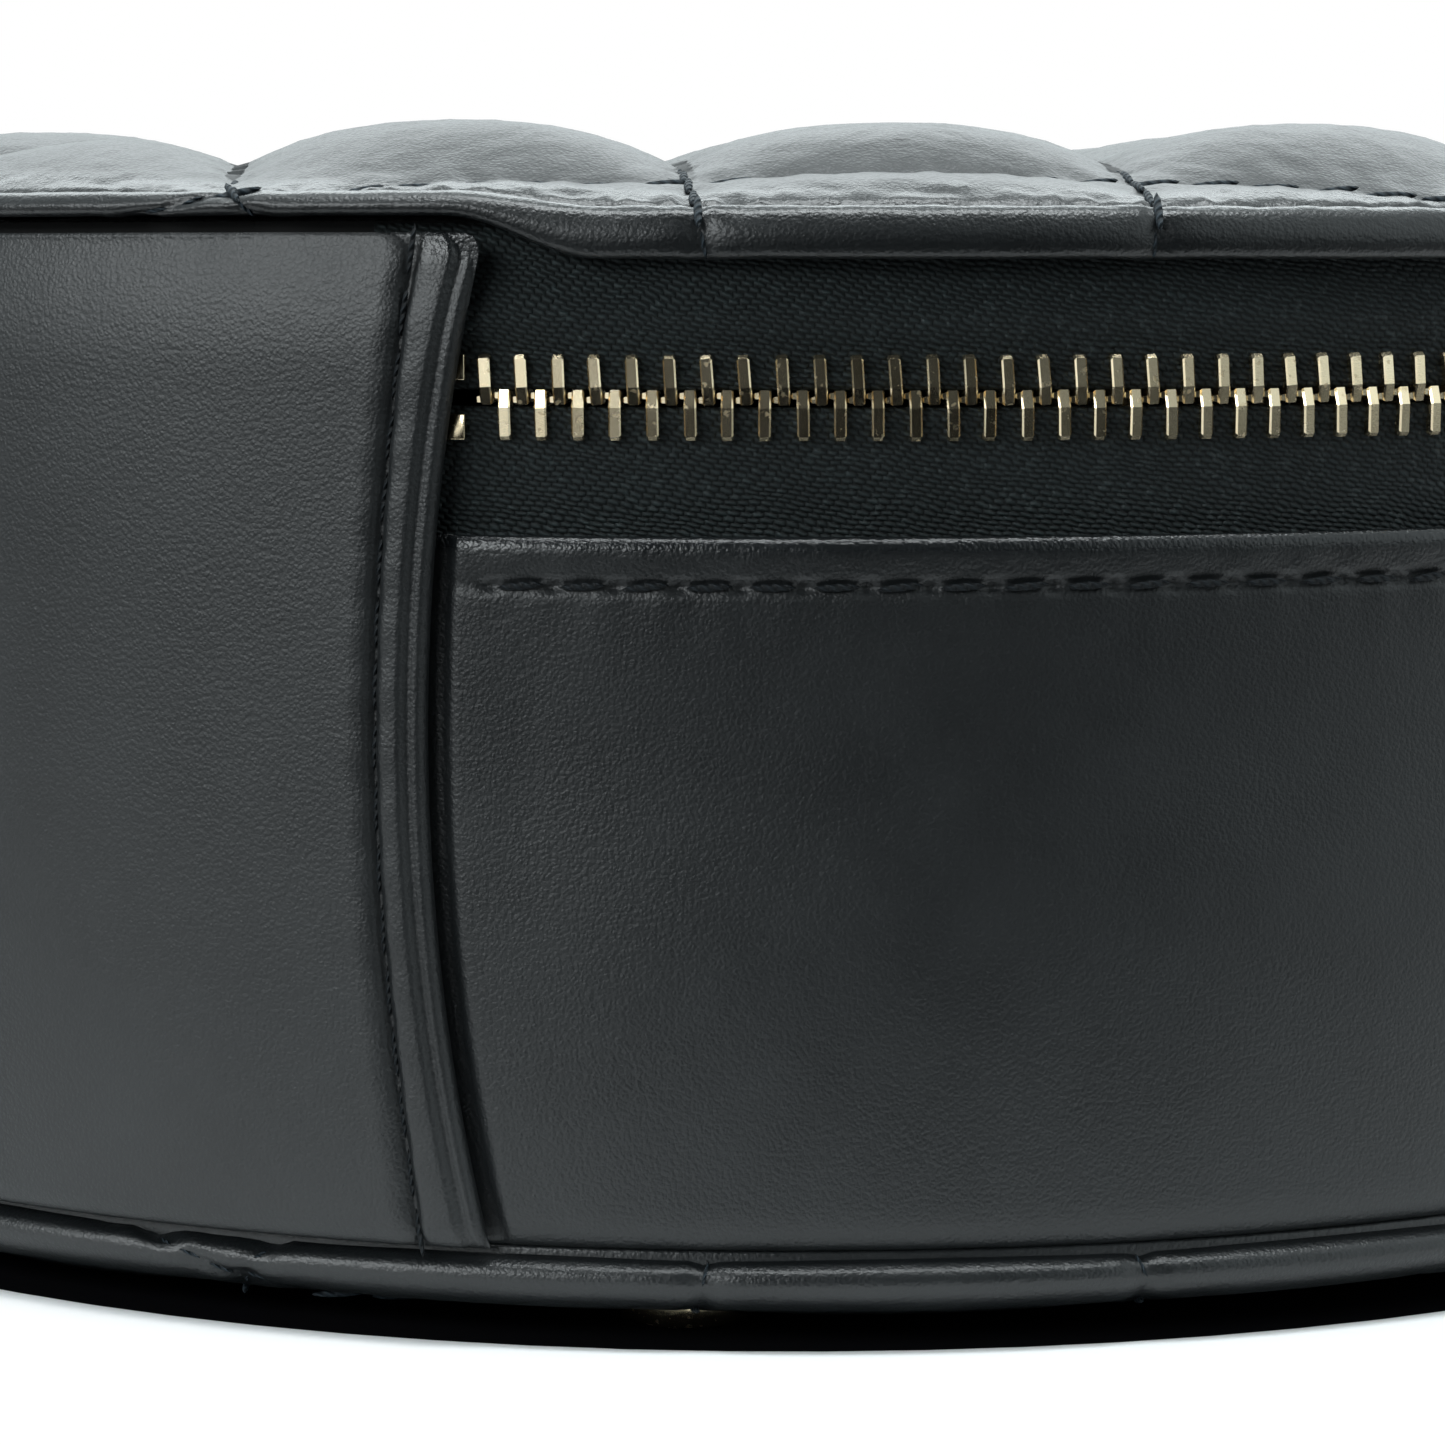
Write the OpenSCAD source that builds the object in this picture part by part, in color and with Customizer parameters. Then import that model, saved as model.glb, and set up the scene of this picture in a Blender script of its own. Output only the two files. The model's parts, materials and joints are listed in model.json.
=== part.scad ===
// Round zip-around jewellery case: a quilted leather drum with a leather hinge panel, a metal zip,
// and a suede lined inside with ring rolls, compartments and a mirror in the lid.
// Millimetres, +Z up. The origin is on the floor under the drum's centre, and the hinge is at +Y.
// Angles round the drum are measured from +Y towards +X.

/* [Drum] */
// Outer radius of the leather wall
wall_r = 83.5; // [75:0.5:100]
// How far the base and lid rims stand out past the wall
rim_out = 0.5; // [0:0.1:1]
// Height of the base rim's lower edge over the floor
foot_h = 1.8; // [1.6:0.1:4]
// Height of the base rim
base_rim_h = 3.7; // [3.4:0.1:8]
// Height of the leather wall from the base seam to its folded edge
panel_h = 39.1; // [36:0.1:60]
// Height of the zip band between the folded edge and the lid seam
zip_band_h = 14.8; // [13:0.1:20]
// Height of the lid's rim from its seam to the ridge
lid_rim_h = 2.8; // [2.6:0.1:6]

/* [Materials] */
// Thickness of the wall leather
leather_t = 0.8; // [0.6:0.1:1.2]
// Thickness of the wall's stiffener board
board_t = 1.7; // [1.2:0.1:3]
// Thickness of the suede lining on its card
lining_t = 0.7; // [0.5:0.1:1.2]
// Thickness of the lid and base boards
plate_t = 1.8; // [1.4:0.1:3]
// Thickness of the foam under the covers
foam_t = 0.9; // [0.6:0.1:1.4]
// Gap between layers that curve round each other
layer_gap = 0.3; // [0.2:0.05:0.5]

/* [Quilting] */
// Side of one quilted square
quilt_pitch = 24.8; // [20:0.2:30]
// Height of the lid's middle puffs over its ridge
lid_crown = 4.8; // [4:0.1:7]
// Height of the lid's outer puffs over its ridge
lid_shoulder = 3.2; // [2.4:0.1:3.8]
// Depth of the lid's seams under its puffs
lid_seam_d = 2.4; // [1:0.1:2.8]
// How far the base's puffs hang under its rim
base_puff = 1.45; // [0.6:0.05:1.5]
// Depth of the base's seams from its puffs
base_seam_d = 1.6; // [0.6:0.1:1.8]
// Radius of the trough along a seam
trough_r = 8; // [5:0.5:10]
// Width of the slope where the quilting runs down to the rim
quilt_edge = 9; // [7:0.5:14]

/* [Hinge panel] */
// Half of the hinge panel's width at its top and bottom, as an angle round the drum
hinge_half_a = 28.6; // [24:0.2:34]
// How far the panel's edges bow in at mid height
hinge_bow = 3.0; // [1:0.1:5]
// Thickness of the panel with its turned lip
hinge_t = 1.0; // [0.8:0.1:1.6]
// Height of the panel over the lid seam
hinge_over = 1.7; // [1.4:0.1:2]

/* [Zip] */
// Spacing of the teeth along one row
tooth_pitch = 2.0; // [1.8:0.05:2.4]
// Thickness of a tooth along the row
tooth_w = 0.67; // [0.4:0.01:0.7]
// Height of the meshed chain, over both rows
chain_h = 4.6; // [4.2:0.1:5.4]
// Thickness of a tooth through the tape
tooth_t = 1.7; // [1.5:0.1:2]
// How far each row reaches past the middle of the chain
mesh_over = 0.4; // [0.2:0.05:0.5]
// Thickness of the tape
tape_t = 0.5; // [0.4:0.05:0.6]
// How far the tapes run in behind the body panel and the hinge panel
tape_tuck = 6; // [4:0.5:8]

/* [Slider] */
// Length of the slider along the zip
slider_l = 8.2; // [7.6:0.1:10]
// Thickness of the slider's plates
slider_t = 0.9; // [0.7:0.1:1.2]
// Running gap between the slider and the zip
slider_gap = 0.15; // [0.1:0.05:0.2]
// Radius of the bar that the pull hangs on
bar_r = 0.5; // [0.4:0.05:0.6]
// Radial gap between the bar and the pull's knuckle
bar_gap = 0.1; // [0.05:0.05:0.15]
// Length of the leather pull from its fold to its end
tab_l = 24; // [16:1:28]
// Width of the leather pull at its end
tab_w = 8; // [7:0.5:9]

/* [Inside] */
// Height of the dividers over the floor pad
divider_h = 30; // [20:1:34]
// Thickness of a divider
divider_t = 3; // [2:0.5:5]
// Distance of the cross dividers from the middle
cross_x = 26; // [18:1:34]
// Radius of a ring roll
roll_r = 5.9; // [4:0.1:6]
// Spacing of the ring rolls
roll_pitch = 12.5; // [12.4:0.1:13]
// Number of ring rolls
roll_n = 5; // [3:1:5]
// Radius of the mirror
mirror_r = 57.8; // [40:0.2:62]

/* [Hidden] */
$fn = 144;

// Heights of the seams and of the zip's middle
base_seam_z = foot_h + base_rim_h;
panel_top_z = base_seam_z + panel_h;
lid_seam_z = panel_top_z + zip_band_h;
zip_z = (panel_top_z + lid_seam_z) / 2;
ridge_z = lid_seam_z + lid_rim_h;
hinge_top_z = lid_seam_z + hinge_over;

// Radii of the layers, from the outside in
rim_r = wall_r + rim_out;
panel_in_r = wall_r - leather_t;
tape_out_r = panel_in_r - layer_gap;
tape_in_r = tape_out_r - tape_t;
board_out_r = tape_in_r - layer_gap;
board_in_r = board_out_r - board_t;
lining_out_r = board_in_r - layer_gap;
lining_in_r = lining_out_r - lining_t;
room_r = lining_in_r - layer_gap;
hinge_in_r = wall_r + layer_gap;
hinge_out_r = hinge_in_r + hinge_t;

// Heights of the base's layers
cover_skin = 0.9;
base_valley_z = foot_h - base_puff + base_seam_d;
base_foam_z = base_valley_z + cover_skin;
base_board_z = base_foam_z + foam_t;
floor_z = base_board_z + plate_t;
pad_t = 2;
room_z = floor_z + pad_t;

// Heights of the lid's layers
lid_board_top_z = ridge_z - 0.8;
lid_board_z = lid_board_top_z - plate_t;
lid_lining_t = 0.6;
lid_lining_z = lid_board_z - lid_lining_t;
lid_foam_top_z = ridge_z + lid_crown - lid_seam_d - cover_skin - 0.6;
lid_foam_r = rim_r - 1.4 * quilt_edge;
pocket_r = panel_in_r;

// Angles where the layers under the hinge panel's lips end
function turn(length, r) = length / r * 180 / PI;
panel_end_a = hinge_half_a - turn(tape_tuck + 4, wall_r);
tape_end_a = hinge_half_a - turn(tape_tuck, wall_r) - 0.5;
hinge_layer_a = panel_end_a - 0.5;
hinge_layer_top_z = hinge_top_z - 0.6;
edge_z = (base_seam_z + hinge_top_z) / 2;
edge_x = hinge_out_r * sin(hinge_half_a);
edge_h = hinge_top_z - base_seam_z;
bow_r = (pow(edge_h / 2, 2) + pow(hinge_bow, 2)) / (2 * hinge_bow);
function edge_a(z) =
    asin((edge_x - hinge_bow + bow_r - sqrt(pow(bow_r, 2) - pow(z - edge_z, 2))) / hinge_out_r);
lip_a = edge_a(zip_z);

// The zip: the slider rests at the closed end, and the rows begin beside its post
chain_r = (tape_in_r + tape_out_r) / 2;
tape_edge = chain_h / 2 - 1;
slider_half_a = turn(slider_l / 2, chain_r);
slider_a = hinge_half_a + slider_half_a + 0.6;
post_l = 2.2;
post_h = 0.8;
post_x = -slider_l / 2 + 0.5;
stop_l = 1.0;
stop_a = slider_a + turn(post_x + post_l + 0.2 + stop_l / 2, chain_r);
first_a = stop_a + turn(stop_l / 2 + 0.2 + tooth_w / 2, chain_r);
pitch_a = turn(tooth_pitch, chain_r);
tooth_n = floor((360 - lip_a - first_a) / pitch_a);
last_stop_a = first_a + tooth_n * pitch_a + turn(stop_l / 2 + 0.2, chain_r);

// The slider's channel, plates and rails
channel_in_r = chain_r - tooth_t / 2 - slider_gap;
channel_out_r = chain_r + tooth_t / 2 + slider_gap;
rail_z = chain_h / 2 + slider_gap + 0.1;
rail_h = 0.75;
tape_slot = tape_t / 2 + 0.25;
slider_out_r = channel_out_r + slider_t;
mouth_h = rail_z + rail_h + 0.6;

// The pull: knuckle, link, tab and stud, hanging from the bar
knuckle_r = bar_r + bar_gap + 0.5;
pull_r = slider_out_r + knuckle_r + 0.35;
link_w = 7;
link_t = 1.0;
link_l = 6;
link_bar = 0.8;
slot_h = 1.6;
leg_x = 2.2;
leg_t = 0.8;
knuckle_l = 2 * leg_x - 0.6;
fold_t = 0.8;
fold_gap = 0.1;
tab_t = 2;
stud_z = -10;
stud_r = 1.8;
stud_t = 0.5;
shank_r = 0.6;

// Ring rolls and dividers
divider_y = 4;
bed_y = divider_y + divider_t / 2 + layer_gap;
bed_h = 6;
roll_y = bed_y + roll_r + 1.1;
roll_z = room_z + bed_h + roll_r + 0.1;
roll_round = 2;

// The mirror's frame: its width and height, and the lip that holds the glass
frame_w = 2.2;
frame_h = 2.2;
frame_lip = 0.6;

// Feet, at crossings of the quilting
foot_r = 4;
foot_a = 0.5 * quilt_pitch;
foot_b = 3 * quilt_pitch;
foot_x = (foot_b - foot_a) / sqrt(2);
foot_y = (foot_a + foot_b) / sqrt(2);
foot_top_z = base_valley_z + 0.3;

leather = [0.05, 0.05, 0.055];
suede = [0.2, 0.19, 0.2];
gilt = [0.83, 0.7, 0.46];

// ---- shapes that repeat ----

// Stands its children at an angle round the drum: X along the wall, Y outwards
module at(a) {
    rotate([0, 0, -a]) children();
}

// A ring, or the stretch of one between two angles
module band(r_in, r_out, z_low, z_high, a_from = 0, a_to = 360) {
    rotate([0, 0, 90 - a_to])
        rotate_extrude(angle = a_to - a_from)
            translate([r_in, z_low]) square([r_out - r_in, z_high - z_low]);
}

module disc(r, z_low, z_high) {
    translate([0, 0, z_low]) cylinder(r = r, h = z_high - z_low);
}

// A straight bar along the wall's tangent, from an outline in (outwards, up)
module along(length) {
    translate([-length / 2, 0, 0]) rotate([90, 0, 90]) linear_extrude(length) children();
}

// A plate facing outwards between two distances, from an outline in (along, up)
module facing(y_low, y_high) {
    translate([0, y_high, 0]) rotate([90, 0, 0]) linear_extrude(y_high - y_low) children();
}

// Round troughs along the seams of the quilting, cut to a depth z from above
module troughs(z) {
    n = floor(rim_r / quilt_pitch);
    for (k = [-n:n]) {
        seam(-135, k * quilt_pitch, z);
        if (k < n) seam(-45, (k + 0.5) * quilt_pitch, z);
    }
}

module seam(turn_a, offset, z) {
    rotate([0, 0, turn_a]) translate([0, offset, z + trough_r]) rotate([0, 90, 0])
        cylinder(r = trough_r, h = 3 * rim_r, center = true, $fn = 64);
}

// A quilted slab with its seam edge at z = -rim_h, its ridge at z = 0 and its crown upwards
module quilted(rim_h, shoulder, crown, seam_d) {
    difference() {
        rotate_extrude() polygon([[0, -rim_h], [rim_r, -rim_h], [rim_r, 0],
            [rim_r - quilt_edge / 3, 0.65 * shoulder], [rim_r - quilt_edge, shoulder],
            [rim_r / 2, (shoulder + 2 * crown) / 3], [0, crown]]);
        troughs(crown - seam_d);
    }
}

// Outline of one tooth of the upper row: a head that meshes and two legs that grip the tape
module tooth_outline() {
    slot = tape_t / 2 + 0.05;
    r = tooth_t / 2;
    polygon([[-r + 0.2, -mesh_over], [r - 0.2, -mesh_over], [r, -mesh_over + 0.2],
             [r, chain_h / 2], [slot, chain_h / 2], [slot, tape_edge - 0.05],
             [-slot, tape_edge - 0.05], [-slot, chain_h / 2], [-r, chain_h / 2],
             [-r, -mesh_over + 0.2]]);
}

// One row of teeth; up is 1 for the lid's row and -1 for the wall's
module teeth_row(up) {
    for (i = [0:tooth_n - 1])
        at(first_a + (i + (up > 0 ? 0.5 : 0)) * pitch_a) translate([0, chain_r, zip_z])
            along(tooth_w) mirror([0, up > 0 ? 0 : 1]) tooth_outline();
}

// A crimped clip over one tape's edge, clear of the slider's post
module stop(up) {
    slot = tape_t / 2 + 0.05;
    r = tooth_t / 2;
    head = post_h + 0.1;
    translate([0, chain_r, zip_z]) along(stop_l) mirror([0, up > 0 ? 0 : 1])
        polygon([[-r, head], [r, head], [r, chain_h / 2], [slot, chain_h / 2],
                 [slot, tape_edge - 0.05], [-slot, tape_edge - 0.05], [-slot, chain_h / 2],
                 [-r, chain_h / 2]]);
}

module stops(up) {
    for (a = [stop_a, last_stop_a]) at(a) stop(up);
}

// ---- case body ----

module base_cover() {
    color(leather) difference() {
        translate([0, 0, foot_h]) mirror([0, 0, 1])
            quilted(base_rim_h, 0.8 * base_puff, base_puff, base_seam_d);
        disc(pocket_r, base_foam_z, base_seam_z + 1);
        for (sx = [-1, 1], sy = [-1, 1])
            translate([sx * foot_x, sy * foot_y, -1]) cylinder(r = foot_r + 0.3, h = foot_top_z + 1);
    }
}

module base_feet() {
    color(gilt)
        for (sx = [-1, 1], sy = [-1, 1])
            translate([sx * foot_x, sy * foot_y, 0]) rotate_extrude()
                polygon([[0, 0], [foot_r - 1, 0], [foot_r - 0.3, 0.3], [foot_r, 1],
                         [foot_r, foot_top_z], [0, foot_top_z]]);
}

module base_foam() {
    color("dimgray") disc(pocket_r - layer_gap, base_foam_z, base_board_z);
}

module base_board() {
    color("tan") disc(pocket_r - layer_gap, base_board_z, floor_z);
}

module wall_board() {
    color("tan") band(board_in_r, board_out_r, floor_z, panel_top_z - lining_t);
}

module body_panel() {
    top = leather_t / 2;
    color(leather) rotate([0, 0, 90 + panel_end_a]) rotate_extrude(angle = 360 - 2 * panel_end_a)
        union() {
            translate([panel_in_r, base_seam_z]) square([leather_t, panel_h - top]);
            translate([panel_in_r + top, panel_top_z - top]) circle(r = top, $fn = 32);
        }
}

module wall_lining() {
    color(suede) {
        band(lining_in_r, lining_out_r, floor_z, panel_top_z);
        band(lining_out_r - 0.01, board_out_r, panel_top_z - lining_t, panel_top_z);
    }
}

module floor_pad() {
    color(suede) disc(room_r, floor_z, room_z);
}

module hinge_panel() {
    color(leather) difference() {
        band(hinge_in_r, hinge_out_r, base_seam_z, hinge_top_z, -hinge_half_a - 1, hinge_half_a + 1);
        for (s = [-1, 1])
            translate([s * (edge_x - hinge_bow + bow_r), 0, edge_z]) rotate([-90, 0, 0])
                cylinder(r = bow_r, h = 2 * hinge_out_r, $fn = 360);
    }
}

module hinge_stiffener() {
    color("tan")
        band(panel_in_r, wall_r, floor_z, hinge_layer_top_z, -hinge_layer_a, hinge_layer_a);
}

module hinge_lining() {
    color(suede)
        band(tape_in_r, tape_out_r, floor_z, hinge_layer_top_z, -hinge_layer_a, hinge_layer_a);
}

module zipper_tape_lower() {
    color([0.05, 0.08, 0.07]) band(tape_in_r, tape_out_r, panel_top_z - tape_tuck,
        zip_z - tape_edge, tape_end_a, 360 - tape_end_a);
}

module zipper_teeth_lower() {
    color(gilt) teeth_row(-1);
}

module zipper_stops_lower() {
    color(gilt) stops(-1);
}

module long_divider() {
    half = sqrt(pow(room_r, 2) - pow(divider_y + divider_t / 2, 2));
    color(suede) translate([-half, divider_y - divider_t / 2, room_z])
        cube([2 * half, divider_t, divider_h]);
}

module cross_dividers() {
    reach = sqrt(pow(room_r, 2) - pow(cross_x + divider_t / 2, 2));
    length = reach + divider_y - divider_t / 2 - layer_gap;
    color(suede)
        for (s = [-1, 1])
            translate([s * cross_x - divider_t / 2, -reach, room_z])
                cube([divider_t, length, divider_h]);
}

module ring_bed() {
    color(suede) intersection() {
        disc(room_r, room_z, room_z + bed_h);
        translate([-room_r, bed_y, room_z]) cube([2 * room_r, room_r, bed_h]);
    }
}

module ring_rolls() {
    color(suede)
        for (i = [0:roll_n - 1]) {
            y = roll_y + i * roll_pitch;
            half = sqrt(pow(room_r, 2) - pow(y + roll_r, 2)) - 1;
            translate([-half, y, roll_z]) rotate([0, 90, 0]) rotate_extrude()
                polygon([[0, 0], [roll_r - roll_round, 0], [roll_r - 0.4, roll_round / 2],
                         [roll_r, roll_round], [roll_r, 2 * half - roll_round],
                         [roll_r - 0.4, 2 * half - roll_round / 2],
                         [roll_r - roll_round, 2 * half], [0, 2 * half]]);
        }
}

// ---- lid ----

module lid_cover() {
    color(leather) difference() {
        translate([0, 0, ridge_z]) quilted(lid_rim_h, lid_shoulder, lid_crown, lid_seam_d);
        disc(pocket_r, lid_seam_z - 1, lid_board_top_z);
        disc(lid_foam_r, lid_seam_z, lid_foam_top_z);
        band(pocket_r - 1, hinge_out_r + 1, lid_seam_z - 1, hinge_top_z + layer_gap,
            -hinge_half_a - 1, hinge_half_a + 1);
    }
}

module lid_foam() {
    color("dimgray") disc(lid_foam_r - layer_gap, lid_board_top_z, lid_foam_top_z);
}

module lid_board() {
    color("tan") disc(board_out_r, lid_board_z, lid_board_top_z);
}

module lid_lining() {
    color(suede) disc(board_out_r - 0.5, lid_lining_z, lid_board_z);
}

module mirror_frame() {
    color(gilt) {
        band(mirror_r + 0.2, mirror_r + frame_w, lid_lining_z - frame_h, lid_lining_z);
        band(mirror_r - 1.8, mirror_r + 0.3, lid_lining_z - frame_h,
            lid_lining_z - frame_h + frame_lip);
    }
}

module mirror_glass() {
    color("lightsteelblue") disc(mirror_r, lid_lining_z - frame_h + frame_lip, lid_lining_z);
}

module zipper_tape_upper() {
    color([0.05, 0.08, 0.07]) band(tape_in_r, tape_out_r, zip_z + tape_edge,
        lid_board_top_z - 0.1, tape_end_a, 360 - tape_end_a);
}

module zipper_teeth_upper() {
    color(gilt) teeth_row(1);
}

module zipper_stops_upper() {
    color(gilt) stops(1);
}

// ---- slider ----

// Outline of a plate: wide at the mouth, which faces the hinge panel, and narrow at the tail
module slider_outline() {
    l = slider_l / 2;
    tail = rail_z + rail_h;
    polygon([[-l, -mouth_h + 1], [-l + 0.8, -mouth_h], [-l + 3, -mouth_h], [0.5, -tail],
             [l - 0.6, -tail], [l, -tail + 0.6], [l, tail - 0.6], [l - 0.6, tail], [0.5, tail],
             [-l + 3, mouth_h], [-l + 0.8, mouth_h], [-l, mouth_h - 1]]);
}

module slider_plate(r_in, r_out) {
    band(r_in, r_out, -mouth_h, mouth_h, -2 * slider_half_a, 2 * slider_half_a);
}

module slider_body() {
    color(gilt) at(slider_a) translate([0, 0, zip_z]) {
        intersection() {
            union() {
                slider_plate(channel_in_r - slider_t, channel_in_r);
                slider_plate(channel_out_r, slider_out_r);
            }
            facing(channel_in_r - slider_l, slider_out_r + slider_l) slider_outline();
        }
        for (s = [-1, 1], r = [[channel_in_r - 0.1, chain_r - tape_slot],
                               [chain_r + tape_slot, channel_out_r + 0.1]])
            band(r[0], r[1], s > 0 ? rail_z : -rail_z - rail_h, s > 0 ? rail_z + rail_h : -rail_z,
                -slider_half_a + 0.6, slider_half_a - 0.6);
        facing(channel_in_r - 0.2, channel_out_r + 0.2)
            polygon([[post_x, 0], [post_x + 0.7, -post_h], [post_x + post_l, 0],
                     [post_x + 0.7, post_h]]);
    }
}

module slider_bridge() {
    color(gilt) at(slider_a) translate([0, 0, zip_z]) difference() {
        union() {
            translate([-leg_x - leg_t, pull_r, 0]) rotate([0, 90, 0])
                cylinder(r = bar_r, h = 2 * (leg_x + leg_t), $fn = 48);
            for (s = [-1, 1])
                translate([s * (leg_x + leg_t / 2), 0, 0]) facing(slider_out_r - 1, pull_r + bar_r)
                    square([leg_t, 2 * bar_r + 0.2], center = true);
        }
        translate([0, 0, -mouth_h]) cylinder(r = slider_out_r + 0.01, h = 2 * mouth_h);
    }
}

// ---- pull ----

module hang() {
    at(slider_a) translate([0, pull_r, zip_z]) children();
}

module pull_link() {
    color(gilt) hang() difference() {
        union() {
            translate([-knuckle_l / 2, 0, 0]) rotate([0, 90, 0])
                cylinder(r = knuckle_r, h = knuckle_l, $fn = 48);
            translate([-knuckle_l / 2, -link_t / 2, -2]) cube([knuckle_l, link_t, 2]);
            translate([-link_w / 2, -link_t / 2, -link_l]) cube([link_w, link_t, link_l - 1.4]);
        }
        rotate([0, 90, 0])
            cylinder(r = bar_r + bar_gap, h = 2 * link_w, center = true, $fn = 48);
        translate([-link_w / 2 + 0.9, -link_t, -link_l + link_bar])
            cube([link_w - 1.8, 2 * link_t, slot_h]);
    }
}

module pull_tab() {
    neck = link_w / 2 - 1;
    outer = link_t / 2 + fold_gap + fold_t;
    top = -link_l + link_bar + fold_gap + fold_t;
    end = top - tab_l;
    color(leather) hang() difference() {
        intersection() {
            along(2 * tab_w) polygon([[-outer, top], [outer, top], [outer, -link_l - 0.4],
                [tab_t / 2, -link_l - 2], [tab_t / 2, end - 1], [-tab_t / 2, end - 1],
                [-tab_t / 2, -link_l - 2], [-outer, -link_l - 0.4]]);
            facing(-outer - 1, outer + 1)
                polygon([[-neck, top + 1], [neck, top + 1], [neck, -link_l - 1],
                    [tab_w / 2, -link_l - 6], [tab_w / 2, end + tab_w / 3], [tab_w / 4, end],
                    [-tab_w / 4, end], [-tab_w / 2, end + tab_w / 3], [-tab_w / 2, -link_l - 6],
                    [-neck, -link_l - 1]]);
        }
        translate([-tab_w, -link_t / 2 - fold_gap, -link_l - 0.3])
            cube([2 * tab_w, link_t + 2 * fold_gap, link_bar + 0.3 + fold_gap]);
        translate([0, 0, stud_z]) rotate([90, 0, 0])
            cylinder(r = shank_r + 0.05, h = 2 * tab_t, center = true, $fn = 32);
    }
}

module pull_stud() {
    color(gilt) hang() translate([0, 0, stud_z]) rotate([90, 0, 0]) {
        translate([0, 0, tab_t / 2]) cylinder(r = stud_r, h = stud_t, $fn = 48);
        translate([0, 0, -tab_t / 2 - stud_t]) cylinder(r = stud_r, h = stud_t, $fn = 48);
        cylinder(r = shank_r, h = tab_t + 0.2, center = true, $fn = 32);
    }
}

base_cover();
base_feet();
base_foam();
base_board();
wall_board();
body_panel();
wall_lining();
floor_pad();
hinge_panel();
hinge_stiffener();
hinge_lining();
zipper_tape_lower();
zipper_teeth_lower();
zipper_stops_lower();
long_divider();
cross_dividers();
ring_bed();
ring_rolls();
lid_cover();
lid_foam();
lid_board();
lid_lining();
mirror_frame();
mirror_glass();
zipper_tape_upper();
zipper_teeth_upper();
zipper_stops_upper();
slider_body();
slider_bridge();
pull_link();
pull_tab();
pull_stud();
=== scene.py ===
import json
import math

import bmesh
import bpy
import numpy as np
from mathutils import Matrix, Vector, noise

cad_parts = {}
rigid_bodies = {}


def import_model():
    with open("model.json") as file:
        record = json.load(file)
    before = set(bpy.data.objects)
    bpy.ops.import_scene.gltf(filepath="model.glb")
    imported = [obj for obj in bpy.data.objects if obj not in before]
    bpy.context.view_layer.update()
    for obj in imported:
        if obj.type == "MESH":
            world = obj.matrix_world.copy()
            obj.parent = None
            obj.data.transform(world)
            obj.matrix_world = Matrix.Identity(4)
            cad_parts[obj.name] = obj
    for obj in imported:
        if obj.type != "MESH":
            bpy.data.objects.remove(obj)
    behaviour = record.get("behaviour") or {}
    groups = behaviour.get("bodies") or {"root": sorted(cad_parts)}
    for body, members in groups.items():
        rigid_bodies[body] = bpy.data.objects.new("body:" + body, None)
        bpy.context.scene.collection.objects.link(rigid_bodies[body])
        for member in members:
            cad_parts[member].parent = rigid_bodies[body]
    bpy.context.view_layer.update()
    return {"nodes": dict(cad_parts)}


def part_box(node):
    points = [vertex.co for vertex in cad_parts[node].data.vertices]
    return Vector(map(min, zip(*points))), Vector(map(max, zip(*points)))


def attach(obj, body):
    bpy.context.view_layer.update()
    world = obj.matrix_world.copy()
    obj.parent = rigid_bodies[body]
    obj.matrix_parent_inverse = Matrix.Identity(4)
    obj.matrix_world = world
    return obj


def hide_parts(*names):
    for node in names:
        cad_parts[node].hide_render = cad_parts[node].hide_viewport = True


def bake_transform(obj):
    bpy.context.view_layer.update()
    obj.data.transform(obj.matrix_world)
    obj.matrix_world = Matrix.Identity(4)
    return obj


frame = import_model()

# ==== Base cover ====
# The quilted sole of the case: one disc of black lambskin laid over foam, sewn through in squares
# set on their corners, and drawn up round the board into a soft rim that ends in the base seam.
# The seams run on over the rim in finer stitches.

MM = 0.001
QUILT_PITCH = 24.8
STITCH_PITCH = 3.3


def node_box(node):
    """A CAD node's lowest and highest corners, in millimetres."""
    low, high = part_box(node)
    return [c / MM for c in low], [c / MM for c in high]


def smooth(low, high, x):
    """Rises from 0 at low to 1 at high, level at both ends."""
    t = np.clip((x - low) / (high - low), 0, 1)
    return t * t * (3 - 2 * t)


def dent(x, width):
    """A bell of height 1 at x = 0 that fades over the width."""
    return np.exp(-(x / width) ** 2)


def ripple(u, v, seed):
    """Smooth noise from -1 to 1 over two coordinates."""
    u, v = np.broadcast_arrays(u, v)
    values = [noise.noise(Vector((p, q, seed))) for p, q in zip(u.ravel(), v.ravel())]
    return np.reshape(values, u.shape)


def curve(points, step):
    """Points a step apart along a smooth curve through the given ones."""
    p = np.array(points, float)
    p = np.vstack([2 * p[0] - p[1], p, 2 * p[-1] - p[-2]])
    t = np.linspace(0, 1, 20, endpoint=False)[:, None]
    spans = [0.5 * (2 * p[i] + (p[i + 1] - p[i - 1]) * t
                    + (2 * p[i - 1] - 5 * p[i] + 4 * p[i + 1] - p[i + 2]) * t ** 2
                    + (3 * p[i] - p[i - 1] - 3 * p[i + 1] + p[i + 2]) * t ** 3)
             for i in range(1, len(p) - 2)]
    fine = np.vstack(spans + [p[-2:-1]])
    gone = np.append(0, np.cumsum(np.linalg.norm(np.diff(fine, axis=0), axis=1)))
    stops = np.linspace(0, gone[-1], max(2, round(gone[-1] / step) + 1))
    return np.stack([np.interp(stops, gone, fine[:, c]) for c in range(p.shape[1])], 1)


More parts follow.
